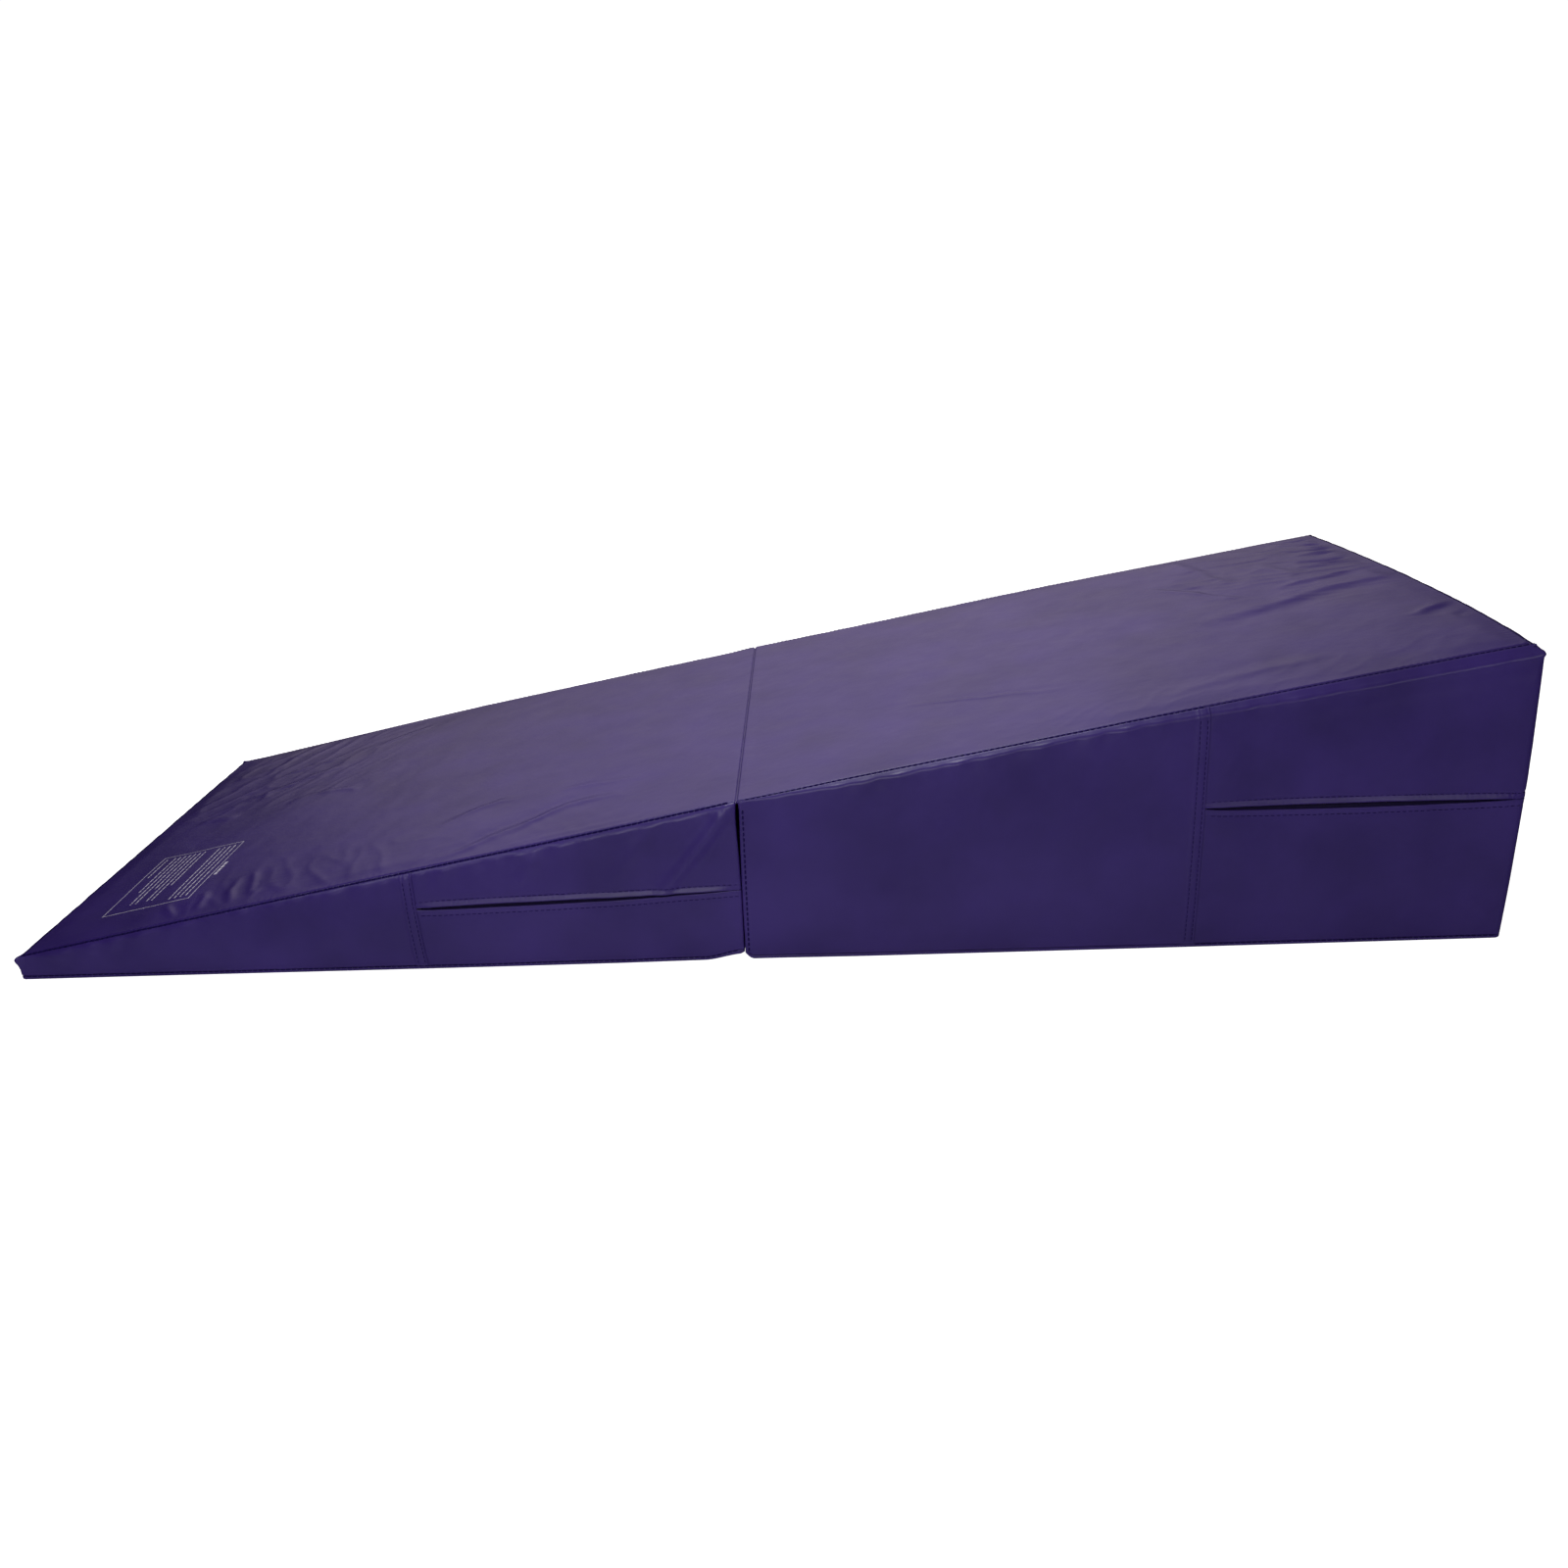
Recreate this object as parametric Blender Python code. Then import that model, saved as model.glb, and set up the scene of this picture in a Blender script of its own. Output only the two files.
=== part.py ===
"""Folding incline wedge mat: two foam wedges in zipped vinyl covers, joined by a fabric hinge.

Metres, +Z up. The origin is on the floor, at the middle of the footprint. +X points to the tall end,
and the near side is at -Y. The low section turns about the fold line, the upper edge where the two
sections meet. Each cover opens with a zip that runs in a slit round the section's thick end.
"""

import math

import bmesh
import bpy
from mathutils import Matrix

# The mat laid out as a ramp.
LENGTH = 1.778
WIDTH = 0.711
NOSE_HEIGHT = 0.029
FOLD_HEIGHT = 0.203
TALL_HEIGHT = 0.356
FOLD_X = -0.006

# The cover. Neighbouring pieces keep GAP between them.
SKIN = 0.0012
GAP = 0.0003
FACE_GAP = 0.004
LOW_CORNER_RADIUS = 0.010
HIGH_CORNER_RADIUS = 0.016
CORNER_STEPS = 6

# Where each zip slit runs. The seam is the upright one that ends the slit on both long sides.
LOW_SEAM_X = -0.394
LOW_SLIT_AT_SEAM = 0.078
LOW_SLIT_AT_FOLD = 0.093
HIGH_SEAM_X = 0.530
HIGH_SLIT_HEIGHT = 0.175
SLIT_WIDTH = 0.005

# The zip, measured down from the cover's outside and away from the middle of the slit.
HEM_NEAR = 0.007
HEM_FAR = 0.016
HEM_DEPTH = 0.0031
CHAIN_GAP = 0.0016
CHAIN_FAR = 0.0032
CHAIN_FRONT = 0.0028
CHAIN_BACK = 0.0050
TAPE_FRONT = HEM_DEPTH + GAP
TAPE_BACK = TAPE_FRONT + 0.0010
TAPE_END = 0.0015
ROOM_DEPTH = 0.0080
ROOM_FAR = HEM_FAR + 0.0008

# The hinge strip under both top panels.
STRIP_HALF_WIDTH = 0.032
STRIP_THICKNESS = 0.0008
STRIP_END = 0.004

# The zip slider and its pull. Lengths run along the slit, widths across it.
SLIDER_LENGTH = 0.014
SLIDER_FRONT_WIDTH = 0.0105
SLIDER_BACK_WIDTH = 0.0075
SLIDER_PLATE = 0.0010
SLIDER_FACE = SKIN + GAP
NECK_WIDTH = 0.0010
NECK_LENGTH = 0.0035
CROWN_LENGTH = 0.0084
CROWN_WIDTH = 0.0026
CROWN_BAR = 0.0012
CROWN_HEIGHT = 0.0048
PULL_PIVOT = 0.0024
PULL_THICKNESS = 0.0012
PULL_LENGTH = 0.030
PULL_EYE_WIDTH = 0.0064
PULL_TIP_WIDTH = 0.0085
PULL_WINDOW_WIDTH = 0.0038
PULL_WINDOW_LENGTH = 0.0058
PULL_EYE_BAR = 0.0012
STOP_LENGTH = 0.003
STOP_WIDTH = 0.007
STOP_CLEARANCE = 0.0005


def empty_scene():
    for item in list(bpy.data.objects):
        bpy.data.objects.remove(item, do_unlink=True)


def make_material(name, colour, roughness, metallic=0.0):
    material = bpy.data.materials.new(name)
    material.use_nodes = True
    shader = material.node_tree.nodes["Principled BSDF"]
    shader.inputs["Base Color"].default_value = (*colour, 1.0)
    shader.inputs["Roughness"].default_value = roughness
    shader.inputs["Metallic"].default_value = metallic
    return material


# ---- small geometry helpers ------------------------------------------------------------------------

def line(start, end):
    """The height z, as a function of x, on the straight line through two (x, z) points."""
    slope = (end[1] - start[1]) / (end[0] - start[0])
    return lambda x: start[1] + slope * (x - start[0])


def raised(height, amount):
    """A height function moved up by an amount."""
    return lambda x: height(x) + amount


def level(z):
    return lambda x: z


def corner(centre_x, centre_y, radius, start_degrees, end_degrees):
    """Points round a corner with the outward direction at each, as (x, y, out_x, out_y)."""
    points = []
    for step in range(CORNER_STEPS + 1):
        angle = math.radians(start_degrees + (end_degrees - start_degrees) * step / CORNER_STEPS)
        out_x, out_y = math.cos(angle), math.sin(angle)
        points.append((centre_x + radius * out_x, centre_y + radius * out_y, out_x, out_y))
    return points


def solid(name, vertices, faces, material):
    """A closed mesh object with its faces pointing outwards."""
    mesh = bpy.data.meshes.new(name)
    mesh.from_pydata(vertices, [], faces)
    shape = bmesh.new()
    shape.from_mesh(mesh)
    bmesh.ops.recalc_face_normals(shape, faces=shape.faces)
    shape.to_mesh(mesh)
    shape.free()
    mesh.materials.append(material)
    mesh.shade_smooth()
    mesh.set_sharp_from_angle(angle=math.radians(30))
    item = bpy.data.objects.new(name, mesh)
    bpy.context.collection.objects.link(item)
    return item


def loft(name, rings, material):
    """A solid through rings of vertices that all have the same count, closed at both ends."""
    count = len(rings[0])
    last = (len(rings) - 1) * count
    vertices = [vertex for ring in rings for vertex in ring]
    faces = [tuple(range(count)), tuple(range(last, last + count))]
    for start in range(0, last, count):
        for i in range(count):
            j = (i + 1) % count
            faces.append((start + i, start + j, start + count + j, start + count + i))
    return solid(name, vertices, faces, material)


def prism(name, outline, low, high, material):
    """A plan outline of (x, y) points, filled from height low(x) to high(x)."""
    rings = [[(x, y, height(x)) for x, y in outline] for height in (low, high)]
    return loft(name, rings, material)


def slab(name, outline, y_from, y_to, material):
    """A side outline of (x, z) points, filled from y_from to y_to."""
    rings = [[(x, y, z) for x, z in outline] for y in (y_from, y_to)]
    return loft(name, rings, material)


def band(name, path, profile, material):
    """A profile of (depth, height function) points, swept along a path of corner() points."""
    rings = []
    for x, y, out_x, out_y in path:
        spots = [(x - out_x * depth, y - out_y * depth, height) for depth, height in profile]
        rings.append([(spot_x, spot_y, height(spot_x)) for spot_x, spot_y, height in spots])
    return loft(name, rings, material)


def box_outline(x_from, x_to, y_from, y_to):
    return [(x_from, y_from), (x_to, y_from), (x_to, y_to), (x_from, y_to)]


def as_tool(item):
    """Marks a solid that only cuts or adds to another one."""
    item.hide_render = True
    item.display_type = "WIRE"
    return item


def combine(item, tool, operation):
    modifier = item.modifiers.new(tool.name, "BOOLEAN")
    modifier.operation = operation
    modifier.solver = "EXACT"
    modifier.object = tool


def soften(item, width):
    """Small round edges on a metal piece."""
    modifier = item.modifiers.new("round_edges", "BEVEL")
    modifier.width = width
    modifier.segments = 2
    modifier.limit_method = "ANGLE"
    modifier.angle_limit = math.radians(40)


# ---- the two sections ------------------------------------------------------------------------------

class Section:
    """The outside of one wedge, from its thin end at x_start to its thick end at x_end."""

    def __init__(self, name, x_start, x_end, top, top_span, corner_radius, seam_x, slit):
        self.name = name
        self.x_start = x_start
        self.x_end = x_end
        self.top = top
        self.top_span = top_span
        self.corner_radius = corner_radius
        self.seam_x = seam_x
        self.slit = slit

    def under_top(self):
        return raised(self.top, -SKIN - GAP)

    def footprint(self, x_from, x_to, inset, radius):
        """A rectangle whose corners at the thick end are round."""
        half_width = WIDTH / 2 - inset
        outline = [(x_from, half_width), (x_from, -half_width)]
        if radius == 0:
            return outline + [(x_to, -half_width), (x_to, half_width)]
        near = corner(x_to - radius, -half_width + radius, radius, -90, 0)
        far = corner(x_to - radius, half_width - radius, radius, 0, 90)
        return outline + [(x, y) for x, y, _, _ in near + far]

    def zip_path(self, x_from):
        """Along the near side, round the thick end and back along the far side."""
        radius = self.corner_radius
        near = corner(self.x_end - radius, -WIDTH / 2 + radius, radius, -90, 0)
        far = corner(self.x_end - radius, WIDTH / 2 - radius, radius, 0, 90)
        return [(x_from, -WIDTH / 2, 0, -1)] + near + far + [(x_from, WIDTH / 2, 0, 1)]


def low_section():
    top = line((-LENGTH / 2, NOSE_HEIGHT), (FOLD_X, FOLD_HEIGHT))
    x_end = FOLD_X - FACE_GAP / 2
    slit = line((LOW_SEAM_X, LOW_SLIT_AT_SEAM), (x_end, LOW_SLIT_AT_FOLD))
    top_span = (-LENGTH / 2, FOLD_X - GAP / 2, 0)
    return Section("low", -LENGTH / 2, x_end, top, top_span, LOW_CORNER_RADIUS, LOW_SEAM_X, slit)


def high_section():
    top = line((FOLD_X, FOLD_HEIGHT), (LENGTH / 2, TALL_HEIGHT))
    x_start = FOLD_X + FACE_GAP / 2
    top_span = (FOLD_X + GAP / 2, LENGTH / 2, HIGH_CORNER_RADIUS)
    slit = level(HIGH_SLIT_HEIGHT)
    return Section("high", x_start, LENGTH / 2, top, top_span, HIGH_CORNER_RADIUS, HIGH_SEAM_X, slit)


# ---- cover, foam and hinge -------------------------------------------------------------------------

def make_flat_panels(section, thin_end_name, vinyl):
    """Top, bottom, thin end and the two plain side panels."""
    name = section.name
    top_from, top_to, top_radius = section.top_span
    over = section.footprint(top_from, top_to, 0, top_radius)
    under = section.footprint(section.x_start, section.x_end, 0, section.corner_radius)
    panels = [
        prism(name + "_top_panel", over, raised(section.top, -SKIN), section.top, vinyl),
        prism(name + "_bottom_panel", under, level(0), level(SKIN), vinyl),
    ]
    end_half_width = WIDTH / 2 - SKIN - GAP
    thin_end = box_outline(section.x_start, section.x_start + SKIN, -end_half_width, end_half_width)
    panels.append(prism(thin_end_name, thin_end, level(SKIN + GAP), section.under_top(), vinyl))
    for side_name, side in (("near", -1), ("far", 1)):
        y_from, y_to = sorted((side * WIDTH / 2, side * (WIDTH / 2 - SKIN)))
        outline = box_outline(section.x_start, section.seam_x - GAP, y_from, y_to)
        side_panel_name = f"{name}_{side_name}_side_panel"
        panels.append(prism(side_panel_name, outline, level(SKIN + GAP), section.under_top(), vinyl))
    return panels


def zip_panel_profile(section, away, outer_edge):
    """A cover panel with its hem beside the slit. away is 1 above the slit and -1 below it."""
    lip = raised(section.slit, away * SLIT_WIDTH / 2)
    hem_near = raised(section.slit, away * HEM_NEAR)
    hem_far = raised(section.slit, away * HEM_FAR)
    return [
        (0, lip), (0, outer_edge), (SKIN, outer_edge), (SKIN, hem_far),
        (HEM_DEPTH, hem_far), (HEM_DEPTH, hem_near), (SKIN, hem_near), (SKIN, lip),
    ]


def tape_profile(section, away):
    """One zip tape with its chain of teeth as a plain bead along the edge."""
    chain_near = raised(section.slit, away * CHAIN_GAP / 2)
    chain_far = raised(section.slit, away * CHAIN_FAR)
    tape_far = raised(section.slit, away * HEM_FAR)
    return [
        (CHAIN_FRONT, chain_near), (CHAIN_BACK, chain_near), (CHAIN_BACK, chain_far),
        (TAPE_BACK, chain_far), (TAPE_BACK, tape_far), (TAPE_FRONT, tape_far),
        (TAPE_FRONT, chain_far), (CHAIN_FRONT, chain_far),
    ]


def make_zip_bands(section, vinyl, tape):
    """The cover's two bands round the thick end, and the two zip tapes behind them."""
    name = section.name
    cover_path = section.zip_path(section.seam_x)
    tape_path = section.zip_path(section.seam_x + TAPE_END)
    upper = zip_panel_profile(section, 1, section.under_top())
    lower = zip_panel_profile(section, -1, level(SKIN + GAP))
    return [
        band(name + "_upper_zip_panel", cover_path, upper, vinyl),
        band(name + "_lower_zip_panel", cover_path, lower, vinyl),
        band(name + "_upper_zip_tape", tape_path, tape_profile(section, 1), tape),
        band(name + "_lower_zip_tape", tape_path, tape_profile(section, -1), tape),
    ]


def make_foam_core(section, foam):
    """The wedge of foam, squashed back along the zip by a shallow groove."""
    inset = SKIN + GAP
    radius = section.corner_radius - inset
    outline = section.footprint(section.x_start + inset, section.x_end - inset, inset, radius)
    core = prism(section.name + "_foam_core", outline, level(inset), section.under_top(), foam)
    room_profile = [
        (-GAP, raised(section.slit, -ROOM_FAR)), (-GAP, raised(section.slit, ROOM_FAR)),
        (ROOM_DEPTH, raised(section.slit, ROOM_FAR)), (ROOM_DEPTH, raised(section.slit, -ROOM_FAR)),
    ]
    room_path = section.zip_path(section.seam_x - TAPE_END)
    room = band(section.name + "_zip_room", room_path, room_profile, foam)
    combine(core, as_tool(room), "DIFFERENCE")
    return core


def strip_profile(low, high, half_width, extra):
    """The bent side profile of the hinge strip, or of the room that it needs."""
    top_side = -SKIN - GAP + extra
    under_side = -SKIN - GAP - STRIP_THICKNESS - extra
    left, right = FOLD_X - half_width, FOLD_X + half_width
    return [
        (left, low.top(left) + under_side), (FOLD_X, FOLD_HEIGHT + under_side),
        (right, high.top(right) + under_side), (right, high.top(right) + top_side),
        (FOLD_X, FOLD_HEIGHT + top_side), (left, low.top(left) + top_side),
    ]


def make_hinge_strip(low, high, vinyl):
    half_across = WIDTH / 2 - SKIN - STRIP_END
    profile = strip_profile(low, high, STRIP_HALF_WIDTH, 0)
    return slab("hinge_strip", profile, -half_across, half_across, vinyl)


def make_hinge_room(low, high, vinyl):
    half_across = WIDTH / 2 - SKIN - STRIP_END + GAP
    profile = strip_profile(low, high, STRIP_HALF_WIDTH + GAP, GAP)
    return as_tool(slab("hinge_room", profile, -half_across, half_across, vinyl))


# ---- zip hardware: built with x along the slit, y outwards and z across the slit -------------------

def plate_outline():
    """The slider's two plates, narrower behind than in front."""
    half = SLIDER_LENGTH / 2
    front, back = SLIDER_FRONT_WIDTH / 2, SLIDER_BACK_WIDTH / 2
    bevel = 0.002
    return [
        (-half, -front + bevel), (-half + bevel, -front), (0, -front), (half - bevel, -back),
        (half, -back + bevel), (half, back - bevel), (half - bevel, back), (0, front),
        (-half + bevel, front), (-half, front - bevel),
    ]


def make_slider(name, metal):
    """Two plates joined by a neck, with a crown over the front plate that holds the pull."""
    front_face = -SLIDER_FACE
    front_back = front_face - SLIDER_PLATE
    rear_face = -CHAIN_BACK - GAP
    rear_back = rear_face - SLIDER_PLATE
    middle = SLIDER_PLATE / 2
    half_length = SLIDER_LENGTH / 2
    slider = slab(name, plate_outline(), front_back, front_face, metal)
    rear = slab(name + "_rear", plate_outline(), rear_back, rear_face, metal)
    neck_from = -half_length + middle
    neck_outline = box_outline(neck_from, neck_from + NECK_LENGTH, -NECK_WIDTH / 2, NECK_WIDTH / 2)
    neck = slab(name + "_neck", neck_outline, rear_face - middle, front_back + middle, metal)
    half_crown = CROWN_LENGTH / 2
    crown_side = [
        (-half_crown, front_face - middle), (-half_crown + CROWN_BAR, front_face - middle),
        (-half_crown + CROWN_BAR, CROWN_HEIGHT - CROWN_BAR),
        (half_crown - CROWN_BAR, CROWN_HEIGHT - CROWN_BAR),
        (half_crown - CROWN_BAR, front_face - middle), (half_crown, front_face - middle),
        (half_crown, CROWN_HEIGHT - CROWN_BAR), (half_crown - CROWN_BAR, CROWN_HEIGHT),
        (-half_crown + CROWN_BAR, CROWN_HEIGHT), (-half_crown, CROWN_HEIGHT - CROWN_BAR),
    ]
    crown = prism(name + "_crown", crown_side, level(-CROWN_WIDTH / 2), level(CROWN_WIDTH / 2), metal)
    for tool in (neck, rear, crown):
        combine(slider, as_tool(tool), "UNION")
        tool.parent = slider
    return slider


def make_pull(name, metal):
    """A flat pull with its origin on its eye bar, and a window that the crown stands in."""
    eye, tip = PULL_EYE_WIDTH / 2, PULL_TIP_WIDTH / 2
    end_x = PULL_LENGTH - tip
    outline = [(-PULL_EYE_BAR / 2, eye), (-PULL_EYE_BAR / 2, -eye)]
    outline += [(x, y) for x, y, _, _ in corner(end_x, 0, tip, -90, 0)]
    outline += [(x, y) for x, y, _, _ in corner(end_x, 0, tip, 0, 90)[1:]]
    pull = slab(name, outline, -PULL_THICKNESS / 2, PULL_THICKNESS / 2, metal)
    half_window = PULL_WINDOW_WIDTH / 2
    window_outline = box_outline(
        PULL_EYE_BAR / 2, PULL_EYE_BAR / 2 + PULL_WINDOW_LENGTH, -half_window, half_window)
    window = slab(name + "_window", window_outline, -PULL_THICKNESS, PULL_THICKNESS, metal)
    combine(pull, as_tool(window), "DIFFERENCE")
    window.parent = pull
    soften(pull, 0.00025)
    return pull


def slider_park_x(section):
    """Where the closed slider's middle is, just past the end stop."""
    stop_end = section.seam_x + TAPE_END + STOP_CLEARANCE + STOP_LENGTH
    return stop_end + STOP_CLEARANCE + SLIDER_LENGTH / 2


def make_stop(section, name, side, metal):
    """A flat clip across the two chains at one end of the zip, 1 on the far side, -1 on the near."""
    x_from = section.seam_x + TAPE_END + STOP_CLEARANCE
    slit = section.slit(x_from + STOP_LENGTH / 2)
    y_from, y_to = sorted((
        side * (WIDTH / 2 - SLIDER_FACE - SLIDER_PLATE), side * (WIDTH / 2 - SLIDER_FACE)))
    outline = box_outline(x_from, x_from + STOP_LENGTH, y_from, y_to)
    return prism(name, outline, level(slit - STOP_WIDTH / 2), level(slit + STOP_WIDTH / 2), metal)


def pivot(name, location, tilt=0.0):
    """An empty on a joint's axis."""
    item = bpy.data.objects.new(name, None)
    item.empty_display_size = 0.02
    item.location = location
    item.rotation_euler = (0, tilt, 0)
    bpy.context.collection.objects.link(item)
    return item


def keep_place(item, parent, parent_matrix):
    item.parent = parent
    item.matrix_parent_inverse = parent_matrix.inverted()


def make_zip_hardware(section, section_pivot, section_matrix, metal, stop_metal):
    """Slider, pull and stops. The slider runs along the straight part of the far side's slit."""
    name = section.name
    park_x = slider_park_x(section)
    rise = section.slit(park_x + 1) - section.slit(park_x)
    run_place = (park_x, WIDTH / 2, section.slit(park_x))
    run = pivot(name + "_zip_run", run_place, tilt=-math.atan(rise))
    keep_place(run, section_pivot, section_matrix)
    slider = make_slider(name + "_zip_slider", metal)
    slider.parent = run
    pull = make_pull(name + "_zip_pull", metal)
    pull.location = (0, PULL_PIVOT, 0)
    pull.parent = slider
    for stop_name, side in (("_zip_start_stop", -1), ("_zip_end_stop", 1)):
        stop = make_stop(section, name + stop_name, side, stop_metal)
        keep_place(stop, section_pivot, section_matrix)


def make_section(section, thin_end_name, place, materials):
    """One cover with its foam and zip, hung on an empty at place."""
    vinyl, tape, foam, metal, stop_metal = materials
    section_pivot = pivot(section.name + "_section", place)
    matrix = Matrix.Translation(place)
    pieces = make_flat_panels(section, thin_end_name, vinyl)
    pieces += make_zip_bands(section, vinyl, tape)
    pieces.append(make_foam_core(section, foam))
    for piece in pieces:
        keep_place(piece, section_pivot, matrix)
    make_zip_hardware(section, section_pivot, matrix, metal, stop_metal)


def main():
    empty_scene()
    vinyl = make_material("vinyl", (0.040, 0.026, 0.135), 0.42)
    strip_vinyl = make_material("hinge_vinyl", (0.030, 0.020, 0.105), 0.50)
    tape = make_material("zip_tape", (0.020, 0.016, 0.045), 0.85)
    foam = make_material("foam", (0.80, 0.79, 0.74), 0.95)
    metal = make_material("zip_metal", (0.52, 0.51, 0.50), 0.32, 1.0)
    stop_metal = make_material("stop_metal", (0.60, 0.60, 0.61), 0.40, 1.0)
    materials = (vinyl, tape, foam, metal, stop_metal)
    low, high = low_section(), high_section()
    fold_line = (FOLD_X, 0, FOLD_HEIGHT + GAP)
    make_section(low, "low_nose_strip", fold_line, materials)
    make_section(high, "high_fold_face_panel", (0, 0, 0), materials)
    make_hinge_strip(low, high, strip_vinyl)
    room = make_hinge_room(low, high, strip_vinyl)
    for name in ("low_foam_core", "high_foam_core", "low_upper_zip_panel", "high_fold_face_panel"):
        combine(bpy.data.objects[name], room, "DIFFERENCE")


main()
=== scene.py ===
import math

import bpy
import numpy as np
from mathutils import Matrix, Vector


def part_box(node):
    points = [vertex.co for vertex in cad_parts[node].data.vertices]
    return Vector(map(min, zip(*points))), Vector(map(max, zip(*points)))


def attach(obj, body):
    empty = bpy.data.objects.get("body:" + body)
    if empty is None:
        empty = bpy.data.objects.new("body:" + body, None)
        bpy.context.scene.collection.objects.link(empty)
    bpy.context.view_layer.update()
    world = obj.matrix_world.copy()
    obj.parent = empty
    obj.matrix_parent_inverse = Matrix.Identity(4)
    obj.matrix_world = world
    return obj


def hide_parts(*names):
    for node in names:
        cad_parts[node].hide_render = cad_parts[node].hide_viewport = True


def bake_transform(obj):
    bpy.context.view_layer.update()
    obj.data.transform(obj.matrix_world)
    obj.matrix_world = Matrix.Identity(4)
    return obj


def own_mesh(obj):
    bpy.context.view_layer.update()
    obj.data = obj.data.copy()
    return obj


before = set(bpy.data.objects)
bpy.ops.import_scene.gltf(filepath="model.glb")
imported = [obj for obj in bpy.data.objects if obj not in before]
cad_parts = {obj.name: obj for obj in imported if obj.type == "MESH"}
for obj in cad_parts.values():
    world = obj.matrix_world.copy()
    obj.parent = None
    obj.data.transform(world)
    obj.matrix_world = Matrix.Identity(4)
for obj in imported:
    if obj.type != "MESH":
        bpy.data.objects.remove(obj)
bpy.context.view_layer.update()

# Lengths are in metres. The origin is on the floor, +X points to the tall end, and the near side is at -Y.

# Seams. A panel's edge turns down into its seam's groove and ends inside the cover.
GROOVE = 0.0010
TUCK = 0.0040
FOOT_SEAM = 0.0045
FOOT_CURL = 0.0016
FOLD_LIFT = 0.0085
FACE_LIFT = 0.0060
SEAM_TURN = math.radians(52)
SEAM_LIP = 0.0027
SEAM_DEPTH = 0.0021

# How the sides roll over to the top, and how round the corners are in plan.
LOW_ROLL = 0.0078
HIGH_ROLL = 0.0048
HIGH_CHAMFER = 0.0048
TALL_ROLL = 0.0072
TALL_CHAMFER = 0.0100
FOLD_ROLL = 0.0030
FACE_ROLL = 0.0012
NOSE_CORNER = 0.0040
FACE_CORNER = 0.0022
LOW_THICK_CORNER = 0.0026
HIGH_THICK_CORNER = 0.0075

# The zip slit and its hems.
SLIT_WIDTH = 0.0050
LIP_BACK = 0.0012
NEAR_FLARE = 0.0026
NEAR_SLIT_LIFT = 0.0038
FAR_FLARE = 0.0008
HEM_WIDTH = 0.0064
LOWER_HEM_WIDTH = 0.0080
LAP_WIDTH = 0.0135
LAP_RISE = 0.0008
LAP_ROWS = (0.0030, 0.0110)

# How far the foam fills each side of the cover out.
SIDE_SWELL = 0.0052
TOP_SWELL = 0.0056
END_SWELL = 0.0150
CORNER_SWELL = 0.0030

# Thread, and how each kind of row differs from it. NEAR and BAND are the parts of the near top seam
# beside the plain side panel and beside the zip band.
STITCH_LENGTH = 0.0050
STITCH_PITCH = 0.0068
THREAD_RADIUS = 0.00042
TOP_STITCHES = {"length": 0.0048, "radius": 0.00045}
# The NEAR rows are thick and dark: they are thread, and also painted shade for the shadow line in the top
# seam's groove.
LOW_NEAR_STITCHES_AND_SHADE_LINE = {"length": 0.0067, "radius": 0.0015}
HIGH_NEAR_STITCHES_AND_SHADE_LINE = {"length": 0.0048, "radius": 0.0010}
HIGH_BAND_STITCHES = {"length": 0.0048, "radius": 0.0005}
FOOT_STITCHES = {"length": 0.0060, "radius": 0.0006}
LAP_STITCHES = {"length": 0.0044, "pitch": 0.0060, "radius": 0.00034}
HEM_STITCHES = {"radius": 0.00034}
CORNER_STITCHES = {"radius": 0.0009}

# The angle past which an edge of the foam, the tapes and the hinge strip is sharp.
SHARP_ANGLE = math.radians(50)

# The foam's distance inside the cover, how round its edges are, and how deep the zip presses into it.
FOAM_GAP = 0.0058
FOAM_EDGE = 0.004
FOAM_DENT = 0.004

# The printed panel on the nose: its box on the top panel, its line, and the bars that stand for words.
PRINT_X = (-0.815, -0.700)
PRINT_Y = (-0.285, -0.105)
PRINT_LINE = 0.0011
BAR_WIDTH = 0.0017
WORD_GAP = 0.0016
WORD_LENGTHS = (0.004, 0.013)
# Its blocks of rows, as (x of the first row, distance between rows, length of each row).
PRINT_BLOCKS = [
    (-0.708, 0.0076, (0.160, 0.160, 0.160, 0.160)),
    (-0.751, 0.0072, (0.110, 0.150, 0.150, 0.110, 0.150, 0.150, 0.110)),
    (-0.806, 0.0072, (0.060,)),
]

# How brightly the floor lights the mat. The camera sees it at full strength.
FLOOR_GLOW = 0.48

NOISE_CELLS = 61


# ---- smooth functions ------------------------------------------------------------------------------

def ease(value, start, end):
    """0 before start, 1 after end, and smooth between them."""
    part = np.clip((value - start) / (end - start), 0.0, 1.0)
    return part * part * (3.0 - 2.0 * part)


def mix(first, second, share):
    """The value a share of the way from the first to the second."""
    return first + (second - first) * share


def straight(start, end):
    """The height on the straight line through two (x, z) points."""
    slope = (end[1] - start[1]) / (end[0] - start[0])
    return lambda x: start[1] + slope * (x - start[0])


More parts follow.
